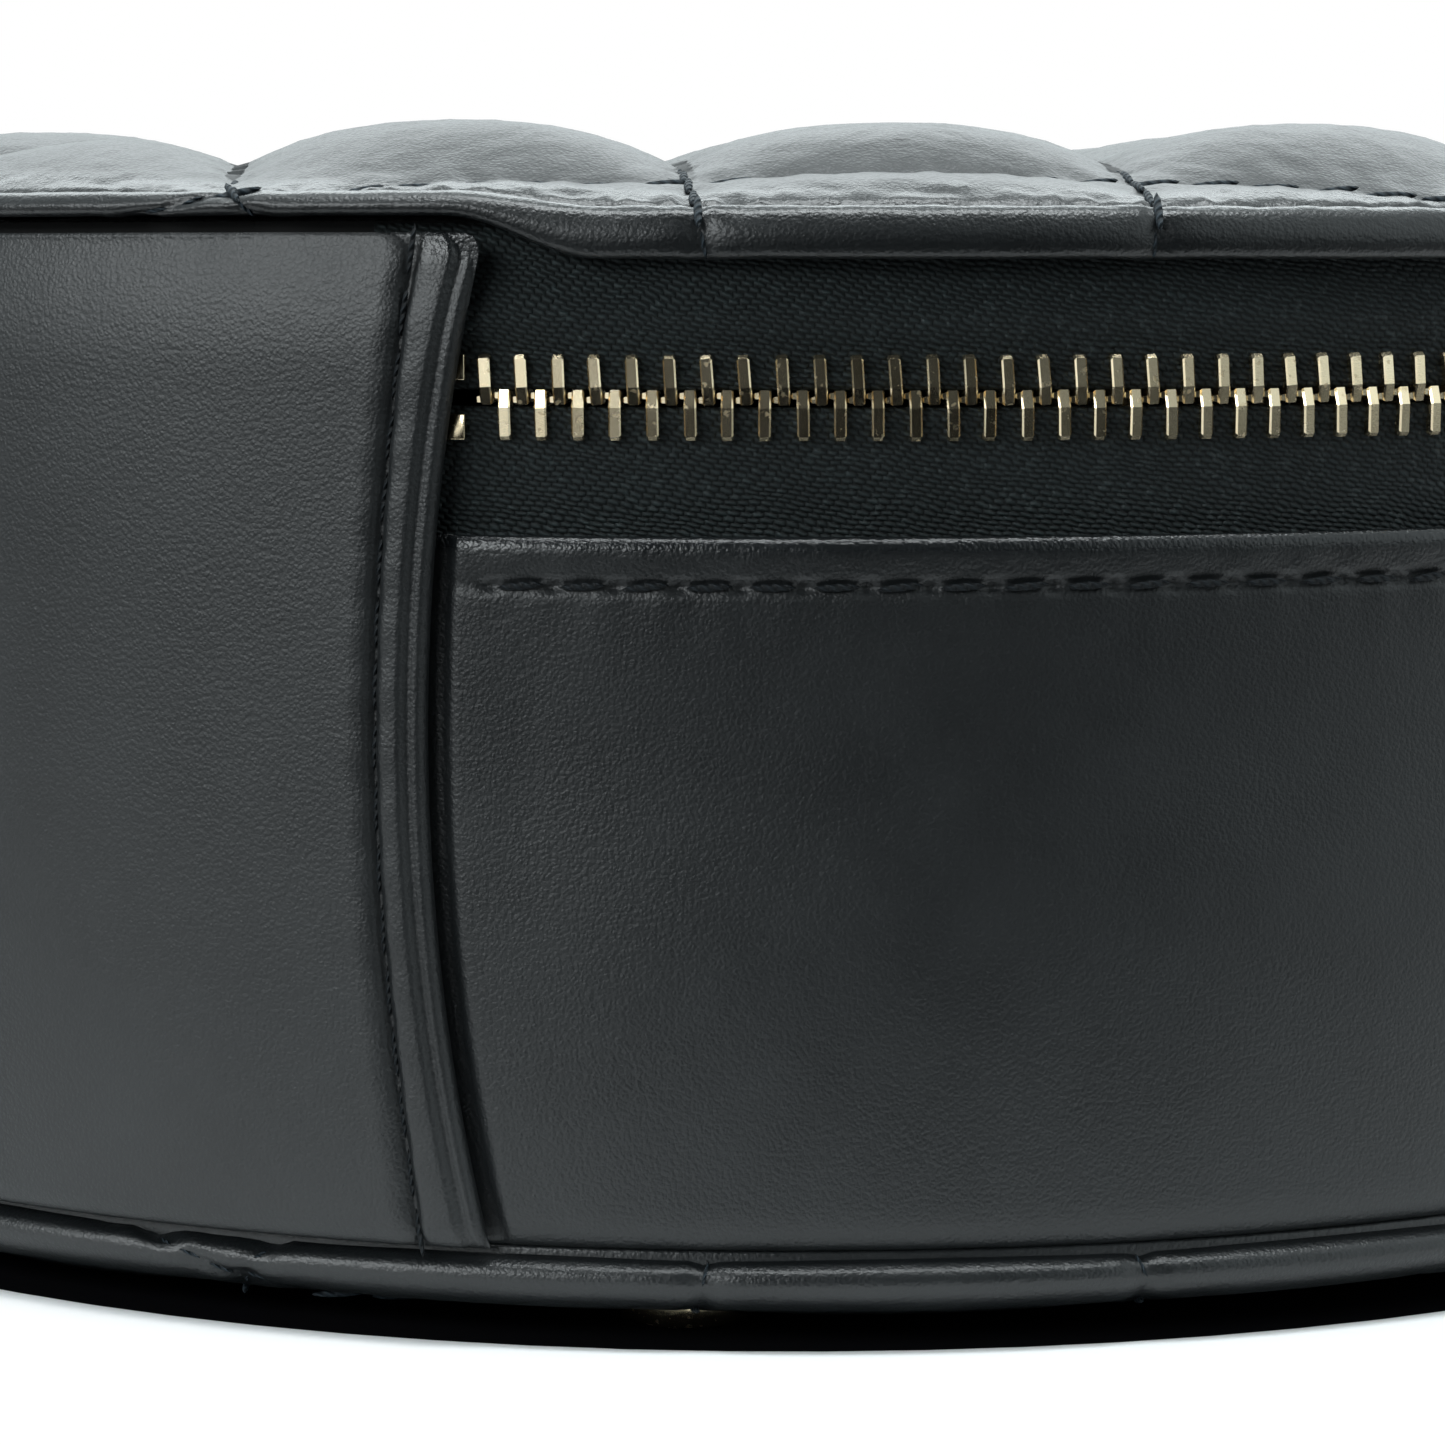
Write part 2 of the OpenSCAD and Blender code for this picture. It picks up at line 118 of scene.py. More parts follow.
class Value:
    """A socket of a finish that can stand in sums and products."""

    def __init__(self, finish, socket):
        self.finish = finish
        self.socket = socket

    def math(self, operation, *terms):
        return self.finish.node("ShaderNodeMath", {"operation": operation}, dict(enumerate(terms)))

    def __add__(self, other):
        return self.math("ADD", self, other)

    __radd__ = __add__

    def __mul__(self, other):
        return self.math("MULTIPLY", self, other)

    __rmul__ = __mul__

    def __sub__(self, other):
        return self.math("SUBTRACT", self, other)

    def __rsub__(self, other):
        return self.math("SUBTRACT", other, self)

    def __truediv__(self, other):
        return self.math("DIVIDE", self, other)

    def __pow__(self, other):
        return self.math("POWER", self, other)

    def abs(self):
        return self.math("ABSOLUTE", self)

    def sin(self):
        return self.math("SINE", self)

    def fraction(self):
        return self.math("FRACT", self)

    def floor(self):
        return self.math("FLOOR", self)

    def clamp(self, low, high):
        return self.math("MINIMUM", self.math("MAXIMUM", self, low), high)


class Wiring:
    """A shader tree in the making."""

    def __init__(self, tree):
        self.tree = tree

    def node(self, kind, settings=None, sockets=None, out=0):
        """Adds a node: its settings first, then the values or links of its sockets."""
        node = self.tree.nodes.new(kind)
        for key, value in (settings or {}).items():
            setattr(node, key, value)
        for key, value in (sockets or {}).items():
            if isinstance(value, Value):
                self.tree.links.new(value.socket, node.inputs[key])
            else:
                node.inputs[key].default_value = value
        return Value(self, node.outputs[out])

    def parts(self, vector):
        """The X, Y and Z of a vector."""
        split = self.node("ShaderNodeSeparateXYZ", {}, {0: vector}).socket.node
        return [Value(self, split.outputs[i]) for i in range(3)]

    def blend(self, share, colour_a, colour_b):
        """A colour between two, by a value from 0 to 1."""
        return self.node("ShaderNodeMix", {"data_type": "RGBA"},
                         {0: share, 6: (*colour_a, 1), 7: (*colour_b, 1)}, out=2)


class Finish(Wiring):
    """A material in the making, with its shader and its object coordinates."""

    def __init__(self, name, **constants):
        self.material = bpy.data.materials.new(name)
        self.material.use_nodes = True
        super().__init__(self.material.node_tree)
        self.shader = self.tree.nodes["Principled BSDF"]
        for socket, value in constants.items():
            self.shader.inputs[socket.replace("_", " ")].default_value = value
        self.place = self.node("ShaderNodeTexCoord", out="Object")

    def feed(self, socket, value):
        self.tree.links.new(value.socket, self.shader.inputs[socket])

    def speckle(self, size, detail=2.0, stretch=(1, 1, 1)):
        """Cloudy noise from 0 to 1 whose spots are about size millimetres across."""
        spot = self.node("ShaderNodeVectorMath", {"operation": "MULTIPLY"},
                         {0: self.place, 1: stretch})
        return self.node("ShaderNodeTexNoise", {},
                         {"Vector": spot, "Scale": 1 / (size * MM), "Detail": detail}, out="Fac")

    def cells(self, size, warp):
        """Round grains about size millimetres across: 0 in the middle of each, rising outwards.
        Warp is how far they are pushed about, as a share of that size."""
        sway = self.node("ShaderNodeTexNoise", {}, {"Vector": self.place, "Scale": 1 / (size * MM)},
                         out="Color")
        sway = self.node("ShaderNodeVectorMath", {"operation": "SCALE"},
                         {0: sway, "Scale": warp * size * MM})
        spot = self.node("ShaderNodeVectorMath", {"operation": "ADD"}, {0: self.place, 1: sway})
        return self.node("ShaderNodeTexVoronoi", {"feature": "F1"},
                         {"Vector": spot, "Scale": 1 / (size * MM)})

    def emboss(self, height):
        """Gives the surface a relief, in millimetres."""
        self.feed("Normal", self.node("ShaderNodeBump", {},
                                      {"Height": height, "Strength": 1.0, "Distance": MM}))


def lambskin(name, roughness, pebble, pore, crease, grain=0.62, low=(0.0045, 0.0055, 0.0062),
             high=(0.0095, 0.0112, 0.0122)):
    """Black lambskin: fine pores, soft pebbles in patches, and hairline creases."""
    skin = Finish(name)
    patch = ((skin.speckle(16, 1) - 0.42) * 4).clamp(0.15, 1)
    pebbles = skin.cells(grain, warp=0.5)
    pores = skin.cells(0.24, warp=0.3)
    fibre = skin.speckle(0.11, 3)
    folds = ((skin.speckle(2.4, 4, stretch=(1, 1, 1.6)) - 0.5).abs() * 9).clamp(0, 1)
    tone = skin.speckle(6, 5) * 0.6 + fibre * 0.4
    worn = skin.node("ShaderNodeAttribute", {"attribute_name": "worn"}, out="Fac")
    skin.feed("Base Color", skin.blend(((tone - 0.3) * 2.4).clamp(0, 1), low, high))
    rough = roughness + (tone - 0.5) * 0.16 + pores * 0.1 - 0.03
    skin.feed("Roughness", (rough * (1 - worn * 0.55)).clamp(0.12, 0.9))
    skin.emboss(pebbles * patch * -pebble + pores * -pore + fibre * (0.8 * pore)
                + folds * crease)
    return skin.material


def into_scene(name, data):
    """A new object at the origin that holds a mesh, a lamp or a camera."""
    piece = bpy.data.objects.new(name, data)
    bpy.context.scene.collection.objects.link(piece)
    return piece


def fit(piece, body, node):
    """Rides a piece on its body and hides the CAD node that it stands in for."""
    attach(piece, body)
    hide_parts(node)


def mesh_piece(name, points, faces, material, uv=None, worn=None, smooth_faces=True):
    """A mesh object at the origin from points in millimetres, its faces turned outwards. Worn is
    how polished each point is by handling, from 0 to 1."""
    mesh = bpy.data.meshes.new(name)
    mesh.from_pydata((np.asarray(points) * MM).tolist(), [], faces)
    if worn is not None:
        mesh.attributes.new("worn", "FLOAT", "POINT").data.foreach_set("value", np.ravel(worn))
    if uv is not None:
        corners = np.zeros(len(mesh.loops), int)
        mesh.loops.foreach_get("vertex_index", corners)
        mesh.uv_layers.new(name="UVMap").data.foreach_set("uv", np.asarray(uv)[corners].ravel())
    turned = bmesh.new()
    turned.from_mesh(mesh)
    bmesh.ops.recalc_face_normals(turned, faces=turned.faces)
    turned.to_mesh(mesh)
    turned.free()
    mesh.polygons.foreach_set("use_smooth", [smooth_faces] * len(mesh.polygons))
    mesh.materials.append(material)
    return into_scene(name, mesh)


def quilt(x, y):
    """The quilting at a point of the flat sheet: its rise from 0 on a seam to 1 in the middle of
    a square, the distance to the nearest seam and the distance along that seam."""
    u = (x + y) / math.sqrt(2) / QUILT_PITCH - 0.5
    v = (x - y) / math.sqrt(2) / QUILT_PITCH
    from_u = abs(u - np.round(u)) * QUILT_PITCH
    from_v = abs(v - np.round(v)) * QUILT_PITCH
    rise = [(1 - (1 - np.minimum(2 * d / QUILT_PITCH, 1)) ** 2.4) ** 0.8 for d in (from_u, from_v)]
    along = np.where(from_u < from_v, v, u) * QUILT_PITCH
    return rise[0] * rise[1], np.minimum(from_u, from_v), along


class Cover:
    """A round quilted cover, as a sheet that goes out over its ridge and down its rim. A place on
    it is the flat distance from the middle and the angle from +X towards +Y."""

    def __init__(self, rim, ridge_z, mean_h, puff_h, edge, rim_puff, crinkle, polish, seed,
                 lift=lambda angle, z: 0 * angle):
        step = 0.05
        self.rim = curve(rim, step)
        slope = np.gradient(self.rim, axis=0)
        slope /= np.linalg.norm(slope, axis=1)[:, None]
        self.normal = np.stack([-slope[:, 1], slope[:, 0]], 1)
        self.gone = np.arange(len(self.rim)) * step
        self.ridge_s = rim[0][0]
        self.end_s = self.ridge_s + self.gone[-1]
        self.ridge_z, self.mean_h, self.puff_h, self.edge = ridge_z, mean_h, puff_h, edge
        self.rim_puff, self.crinkle, self.polish = rim_puff, crinkle, polish
        self.seed, self.lift = seed, lift

    def at(self, s, angle):
        """Points and outward directions at places on the cover."""
        s, angle = np.broadcast_arrays(s, angle)
        x, y = s * np.cos(angle), s * np.sin(angle)
        puff, off, along = quilt(x, y)
        inward = np.clip(self.ridge_s - s, 0, None)
        over = np.clip(s - self.ridge_s, 0, self.gone[-1])
        on_top = s < self.ridge_s
        n_r = np.where(on_top, 0, np.interp(over, self.gone, self.normal[:, 0]))
        n_z = np.where(on_top, 1, np.interp(over, self.gone, self.normal[:, 1]))
        r = np.where(on_top, s, np.interp(over, self.gone, self.rim[:, 0]))
        rise = 1 - (1 - np.minimum(inward / (1.2 * self.edge), 1)) ** 1.8
        z = np.where(on_top, self.ridge_z + self.mean_h * rise,
                     np.interp(over, self.gone, self.rim[:, 1]))
        edge = 1 - (1 - np.clip((inward - 0.5) / self.edge, 0, 1)) ** 1.6
        arc = angle * self.ridge_s
        rim = smooth(0.2, 1.2, over) * (1 - smooth(0, 0.8, s - self.end_s + 0.8))
        z = z + self.puff_h * puff * edge
        d = self.rim_puff * (puff - 0.5) * rim
        # The seam's groove, the pull of each stitch, and the puckers beside it.
        d = d - (0.22 * rim + 0.1) * dent(off, 0.45)
        d = d + 0.09 * dent(off, 1.8) * np.cos(2 * math.pi * along / STITCH_PITCH)
        d = d + 0.07 * np.exp(-off / 2.5) * ripple(along / 0.9, off / 3.5, self.seed)
        # The nip behind the ridge, and the crinkles on both sides of it.
        d = d - self.crinkle * 0.9 * dent(inward - 0.55, 0.32) * on_top
        near_ridge = np.exp(-np.clip(inward - 0.9, 0, None) / 1.3) * smooth(0.3, 0.9, inward)
        d = d + self.crinkle * near_ridge * ripple(arc / 0.85, inward / 1.6, self.seed + 3)
        d = d + 0.25 * self.crinkle * dent(over - 0.4, 0.9) * ripple(arc / 1.4, s, self.seed + 5)
        # Slack in the leather over the pillows.
        d = d + 0.12 * ripple(x / 14, y / 14, self.seed + 7) * np.clip(inward / 8, 0, 1)
        r = r + d * n_r
        z = z + d * n_z
        z = z + self.lift(angle, z) * np.exp(-inward / 6)
        points = np.stack([r * np.cos(angle), r * np.sin(angle), z], -1)
        normals = np.stack([n_r * np.cos(angle), n_r * np.sin(angle), n_z], -1)
        return points, normals

    def piece(self, name, count, disc_s, rows, inside, material, upside_down=False, press=None):
        """The cover as a closed mesh: a squared grid over the middle, rings down to the hem, and
        the rings of its inside, each a radius and a height, ended by a fan."""
        p, q = np.meshgrid(np.linspace(-1, 1, count + 1), np.linspace(-1, 1, count + 1))
        wide = abs(p) > abs(q)
        reach = np.where(wide, p, q)
        share = np.where(wide, q, p) / np.where(reach == 0, 1, reach)
        angle = np.where(wide, math.pi / 4 * share, math.pi / 2 - math.pi / 4 * share)
        angle = angle + math.pi * (reach < 0)
        grid, _ = self.at(abs(reach) * disc_s, angle)
        index = np.arange((count + 1) ** 2).reshape(count + 1, count + 1)
        loop = np.concatenate([index[:-1, -1], index[-1, :0:-1], index[:0:-1, 0], index[0, :-1]])
        loop_angle = angle.ravel()[loop]
        points = [grid.reshape(-1, 3)]
        quads = np.stack([index[:-1, :-1], index[:-1, 1:], index[1:, 1:], index[1:, :-1]], -1)
        faces = quads.reshape(-1, 4).tolist()
        rings = [self.at(np.full(len(loop), s), loop_angle)[0] for s in rows]
        above_hem = rings[-1][:, 2] + 0.01
        for r, z in inside:
            rings.append(np.stack([r * np.cos(loop_angle), r * np.sin(loop_angle),
                                   np.maximum(z, above_hem)], -1))
        total = (count + 1) ** 2
        worn = [np.zeros(total)]
        past_ridge = rows - self.ridge_s
        rubbed = np.maximum(dent(past_ridge - 0.6, 0.8), 0.6 * dent(past_ridge + 2, 1.5))
        row_worn = [*(self.polish * rubbed), *[0] * len(inside)]
        for ring, shine in zip(rings, row_worn):
            worn.append(np.full(len(loop), shine))
            new_loop = total + np.arange(len(loop))
            faces += np.stack([loop, new_loop, np.roll(new_loop, -1), np.roll(loop, -1)],
                              1).tolist()
            points.append(ring)
            loop = new_loop
            total += len(loop)
        points.append([[0, 0, inside[-1][1]]])
        worn.append([0])
        faces += [(a, total, b) for a, b in zip(loop.tolist(), np.roll(loop, -1).tolist())]
        points = np.vstack(points)
        if press:
            points = press(points)
        if upside_down:
            points = points * [1, 1, -1]
        return mesh_piece(name, points, faces, material, worn=np.concatenate(worn))

    def seams(self, s_from, s_to, upside_down=False):
        """Guide lines along the seams between two distances from the middle, each a list of
        points with the directions out."""
        lines = []
        t = np.arange(-self.end_s, self.end_s, 0.3)
        for k in range(-4, 4):
            for across, c in ((1, (k + 0.5) * QUILT_PITCH), (-1, k * QUILT_PITCH)):
                x = (c + t) / math.sqrt(2)
                y = (c - t) / math.sqrt(2) * across
                s = np.hypot(x, y)
                for half in ((t < 0, t >= 0) if s_from else (True,)):
                    keep = (s >= s_from) & (s < s_to) & half
                    if keep.sum() > 3:
                        points, out = self.at(s[keep], np.arctan2(y, x)[keep])
                        flip = [1, 1, -1 if upside_down else 1]
                        lines.append(((points + 0.05 * out) * flip, out * flip))
        return lines


class Tree:
    """A Geometry Nodes tree in the making, with named inputs that each modifier sets."""

    def __init__(self, name, inputs):
        self.tree = bpy.data.node_groups.new(name, "GeometryNodeTree")
        self.tree.interface.new_socket("Geometry", in_out="INPUT",
                                       socket_type="NodeSocketGeometry")
        self.ids = {}
        for label, kind, value in inputs:
            socket = self.tree.interface.new_socket(label, in_out="INPUT", socket_type=kind)
            if value is not None:
                socket.default_value = value
            self.ids[label] = socket.identifier
        self.tree.interface.new_socket("Geometry", in_out="OUTPUT",
                                       socket_type="NodeSocketGeometry")
        self.start = self.tree.nodes.new("NodeGroupInput")
        self.end = self.tree.nodes.new("NodeGroupOutput")

    def given(self, label):
        return self.start.outputs[label]

    def node(self, kind, settings=None, sockets=None):
        """Adds a node: its settings first, then its sockets, each with a value, a socket or a
        node whose first output feeds it."""
        node = self.tree.nodes.new(kind)
        for key, value in (settings or {}).items():
            setattr(node, key, value)
        for key, value in (sockets or {}).items():
            if isinstance(value, bpy.types.Node):
                value = value.outputs[0]
            if isinstance(value, bpy.types.NodeSocket):
                self.tree.links.new(value, node.inputs[key])
            else:
                node.inputs[key].default_value = value
        return node

    def math(self, operation, *terms):
        return self.node("ShaderNodeMath", {"operation": operation}, dict(enumerate(terms)))

    def finish(self, instances):
        """Ends the tree: real meshes, in the given material."""
        solid = self.node("GeometryNodeRealizeInstances", {}, {0: instances})
        dressed = self.node("GeometryNodeSetMaterial", {},
                            {0: solid, "Material": self.given("Material")})
        self.tree.links.new(dressed.outputs[0], self.end.inputs[0])

    def run(self, piece, **values):
        """Runs the tree on a piece and leaves it a plain mesh."""
        modifier = piece.modifiers.new("run", "NODES")
        modifier.node_group = self.tree
        for label, value in values.items():
            modifier[self.ids[label]] = value
        bpy.context.view_layer.update()
        seen = piece.evaluated_get(bpy.context.evaluated_depsgraph_get())
        mesh = bpy.data.meshes.new_from_object(seen)
        piece.modifiers.clear()
        piece.data = mesh
        mesh.name = piece.name


# Each stitch of twisted thread is a drawn-out ball that lies along its guide line.
stitching = Tree("stitching", [("Pitch", "NodeSocketFloat", 0.0033),
                               ("Length", "NodeSocketFloat", 0.0026),
                               ("Thread", "NodeSocketFloat", 0.0005),
                               ("Lean", "NodeSocketFloat", 0.0),
                               ("Unevenness", "NodeSocketFloat", 0.05),
                               ("Seed", "NodeSocketInt", 1),
                               ("Material", "NodeSocketMaterial", None)])


def build_stitching(t):
    guide = t.node("GeometryNodeMeshToCurve", {}, {0: t.given("Geometry")})
    spots = t.node("GeometryNodeCurveToPoints", {"mode": "LENGTH"},
                   {0: guide, "Length": t.given("Pitch")})
    out = t.node("GeometryNodeInputNamedAttribute", {"data_type": "FLOAT_VECTOR"}, {"Name": "out"})
    lie = t.node("FunctionNodeAlignRotationToVector", {"axis": "X"},
                 {"Vector": spots.outputs["Tangent"]})
    stand = t.node("FunctionNodeAlignRotationToVector", {"axis": "Z", "pivot_axis": "X"},
                   {"Rotation": lie, "Vector": out})
    wobble = t.node("FunctionNodeRandomValue", {"data_type": "FLOAT"},
                    {"Min": -1.0, "Max": 1.0, "Seed": t.given("Seed")})
    sway = t.math("MULTIPLY_ADD", wobble.outputs[1], t.given("Unevenness"), t.given("Lean"))
    turn = t.node("ShaderNodeCombineXYZ", {}, {"Z": sway})
    lean = t.node("FunctionNodeRotateRotation", {"rotation_space": "LOCAL"}, {0: stand, 1: turn})
    ball = t.node("GeometryNodeMeshUVSphere", {}, {"Segments": 8, "Rings": 6, "Radius": 0.5})
    soft = t.node("GeometryNodeSetShadeSmooth", {}, {0: ball})
    size = t.node("ShaderNodeCombineXYZ", {},
                  {"X": t.given("Length"), "Y": t.given("Thread"), "Z": t.given("Thread")})
    stitch = t.node("GeometryNodeTransform", {}, {0: soft, "Scale": size})
    where = t.node("GeometryNodeInputPosition")
    marked = t.node("GeometryNodeStoreNamedAttribute",
                    {"data_type": "FLOAT_VECTOR", "domain": "POINT"},
                    {0: stitch, "Name": "thread", "Value": where})
    t.finish(t.node("GeometryNodeInstanceOnPoints", {},
                    {"Points": spots, "Instance": marked, "Rotation": lean}))


build_stitching(stitching)


def thread_finish(name, low, high):
    """Two-ply waxed thread, the plies winding round it in the thread's own coordinates, with
    painted highlight on their crests and painted shade between them.
    """
    thread = Finish(name, Roughness=0.65, Specular_IOR_Level=0.25)
    own = thread.node("ShaderNodeAttribute", {"attribute_name": "thread"}, out="Vector")
    x, y, z = thread.parts(own)
    ply = (x * (2 * math.pi / (0.62 * MM)) + y.math("ARCTAN2", y, z) * 2).sin()
    fluff = thread.speckle(0.08, 3)
    thread.feed("Base Color", thread.blend((ply * 0.3 + fluff * 0.5 + 0.2).clamp(0, 1), low, high))
    thread.emboss(ply * 0.07 + fluff * 0.02)
    return thread.material


def stitch_piece(name, lines, body, slot, material, **sizes):
    """Sews along guide lines of points and directions out, and rides the thread on a body."""
    points = np.vstack([line[0] for line in lines])
    outs = np.vstack([line[1] for line in lines])
    mesh = bpy.data.meshes.new(name)
    edges = []
    first = 0
    for line, _ in lines:
        edges += [(first + i, first + i + 1) for i in range(len(line) - 1)]
        first += len(line)
    mesh.from_pydata((points * MM).tolist(), edges, [])
    layer = mesh.attributes.new("out", "FLOAT_VECTOR", "POINT")
    layer.data.foreach_set("vector", outs.ravel())
    piece = into_scene(name, mesh)
    stitching.run(piece, Material=material, **sizes)
    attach(piece, body)


rim_r, _, base_seam_z = node_box("base_cover")[1]
feet_high = node_box("base_feet")[1]
foot_r = 4.0
foot_x = feet_high[0] - foot_r
foot_y = feet_high[1] - foot_r
base_ridge = 1.75
pocket_r = rim_r - 1.3
flat_s = 76

quilted_leather = lambskin("quilted_lambskin", 0.34, 0.012, 0.022, 0.010, grain=0.4)
navy_thread = thread_finish("navy_thread", (0.002, 0.004, 0.006), (0.022, 0.034, 0.044))

base = Cover(rim=[(rim_r - back, -up) for back, up in
                  ((3.0, base_ridge), (2.1, 1.98), (1.25, 2.35), (0.5, 2.95), (0.08, 3.55),
                   (0, 4.0), (0.22, 4.5), (0.75, 4.8), (1.35, 4.97), (1.5, 5.5))],
             ridge_z=-base_ridge, mean_h=0.45, puff_h=0.9, edge=3.2, rim_puff=0.22, crinkle=0.05,
             polish=0, seed=31)


def seat_feet(points):
    """Presses the sole flat where the four feet are screwed through it."""
    reach = np.hypot(abs(points[:, 0]) - foot_x, abs(points[:, 1]) - foot_y)
    pressed = np.minimum(points[:, 2], -feet_high[2] - 0.02)
    under = (points[:, 2] > -2.8) * (1 - smooth(foot_r - 0.3, foot_r + 0.15, reach))
    points[:, 2] += (pressed - points[:, 2]) * under
    return points


base_rows = np.concatenate([np.arange(flat_s + 0.5, base.ridge_s, 0.5),
                            np.arange(base.ridge_s, base.end_s + 0.01, 0.2)])
base_cover = base.piece("base_cover_quilted", count=150, disc_s=flat_s, rows=base_rows,
                        inside=[(pocket_r - 0.1, -5.5), (pocket_r, -5.3), (pocket_r, -2.85),
                                (40, -2.85)],
                        material=quilted_leather, upside_down=True, press=seat_feet)
fit(base_cover, "case_body", "base_cover")

stitch_piece("base_quilting_thread", base.seams(0, base.ridge_s, upside_down=True), "case_body",
             "quilted_leather", navy_thread, Pitch=STITCH_PITCH * MM, Length=3.0 * MM,
             Thread=0.42 * MM, Unevenness=0.08, Seed=3)
stitch_piece("base_rim_thread", base.seams(base.ridge_s + 1, base.end_s - 1.4, upside_down=True),
             "case_body", "quilted_leather", navy_thread, Pitch=1.9 * MM, Length=1.5 * MM,
             Thread=0.24 * MM, Unevenness=0.15, Seed=4)

# ==== Lid cover ====
# The lid's quilted top, sewn and drawn in the same way over a thicker foam, so that its squares
# stand up as pillows. The leather is nipped into a thin bead along the ridge, crinkles above it,
# and runs down a low rim that is cut higher where it passes over the hinge panel.

lid_seam_z = node_box("lid_cover")[0][2]
rim_drop = 2.8
ridge_z = lid_seam_z + rim_drop
board_top_z = node_box("lid_board")[1][2]
foam_top_z = node_box("lid_foam")[1][2]
foam_r = node_box("lid_foam")[1][0] + 0.3
HINGE_HALF = 28.6
hinge_lift_ridge = 0.85
hinge_lift_hem = 2.3


def over_hinge(angle, z):
    """How far the rim is cut up over the hinge panel, more at its hem than at its ridge."""
    from_hinge = abs(np.degrees((math.pi / 2 - angle + math.pi) % (2 * math.pi) - math.pi))
    share = np.clip((ridge_z - z) / rim_drop, 0, 1)
    lift = hinge_lift_ridge + (hinge_lift_hem - hinge_lift_ridge) * share
    return lift * (1 - smooth(HINGE_HALF - 1.5, HINGE_HALF + 4.2, from_hinge))


lid = Cover(rim=[(rim_r - back, ridge_z - down) for back, down in
                 ((1.7, 0.12), (1.35, 0), (0.95, 0.08), (0.5, 0.38), (0.2, 0.9), (0, 1.6),
                  (0.08, 2.3), (0.4, 2.72), (0.95, rim_drop))],
            ridge_z=ridge_z - 0.12, mean_h=2.25, puff_h=2.85, edge=13, rim_puff=0.22,
            crinkle=0.42, polish=1, seed=11, lift=over_hinge)
fine_from = 79.7
lid_rows = np.concatenate([np.arange(flat_s + 0.5, fine_from - 0.1, 0.5),
                           np.arange(fine_from, lid.end_s + 0.01, 0.19)])
lid_cover = lid.piece("lid_cover_quilted", count=214, disc_s=flat_s, rows=lid_rows,
                      inside=[(pocket_r, lid_seam_z + 0.2), (pocket_r, board_top_z),
                              (foam_r, board_top_z), (foam_r, foam_top_z)],
                      material=quilted_leather)
fit(lid_cover, "lid", "lid_cover")

stitch_piece("lid_quilting_thread", lid.seams(0, lid.ridge_s + 0.9), "lid", "quilted_leather",
             navy_thread, Pitch=STITCH_PITCH * MM, Length=3.2 * MM, Thread=0.5 * MM,
             Unevenness=0.1, Seed=5)
stitch_piece("lid_rim_thread", lid.seams(lid.ridge_s + 0.9, lid.end_s - 1.1), "lid",
             "quilted_leather", navy_thread, Pitch=1.7 * MM, Length=1.5 * MM,
             Thread=0.26 * MM, Unevenness=0.15, Seed=6)

# ==== Body panel ====
# The wall's leather, one strip round the drum from one side of the hinge panel to the other. Its
# top edge is turned in over the board and held by a row of slanting topstitches; below, it is
# drawn in to the base seam.

panel_box = node_box("body_panel")
wall_r = panel_box[1][0]
panel_top_z = panel_box[1][2]
leather_t = 0.8
panel_end = 21.74
topstitch_z = panel_top_z - 2.7
topstitch_pitch = 3.4
pressed_in = 0.72
turn_depth = 0.95


def skin(n, m, first=0):
    """The faces over n loops of m points each, with both ends filled."""
    i, j = np.meshgrid(np.arange(n - 1), np.arange(m), indexing="ij")
    here, beside = first + i * m + j, first + i * m + (j + 1) % m
    sides = np.stack([here, beside, beside + m, here + m], -1).reshape(-1, 4).tolist()
    last = first + (n - 1) * m
    return sides + [list(range(first, first + m)), list(range(last, last + m))]


def loops_piece(name, material, loops, uv=None, worn=None):
    """A closed skin over a row of point loops, with its two ends filled."""
    return mesh_piece(name, loops.reshape(-1, 3), skin(*loops.shape[:2]), material,
                      None if uv is None else uv.reshape(-1, 2), worn)


def turned_under(z, height):
    """How far leather has rolled in by the base seam: 1 at the seam, 0 a height above it."""
    from_seam = np.clip((z - base_seam_z) / height, 0, 1)
    return 1 - np.sqrt(1 - (1 - from_seam) ** 2.6)


def round_drum(r, a, z):
    """Points at radii, angles from +Y towards +X, and heights."""
    r, a, z = np.broadcast_arrays(r, a, z)
    return np.stack([r * np.sin(a), r * np.cos(a), z], -1)


hinge_box = node_box("hinge_panel")
hinge_top_z = hinge_box[1][2] - 0.3
hinge_out_r = hinge_box[1][1]
hinge_in_r = hinge_out_r - 1.0
hinge_bow = 3.0
hinge_mid_z = (base_seam_z + hinge_top_z) / 2
bow_half = (hinge_top_z - base_seam_z) / 2
bow_r = (bow_half ** 2 + hinge_bow ** 2) / (2 * hinge_bow)


def lip_angle(z):
    """The angle of the hinge panel's edge at a height, where the wall is pressed in beside it."""
    edge_x = hinge_out_r * math.sin(math.radians(HINGE_HALF))
    bowed = edge_x - hinge_bow + bow_r - np.sqrt(bow_r ** 2 - (z - hinge_mid_z) ** 2)
    return np.arcsin(bowed / hinge_out_r)


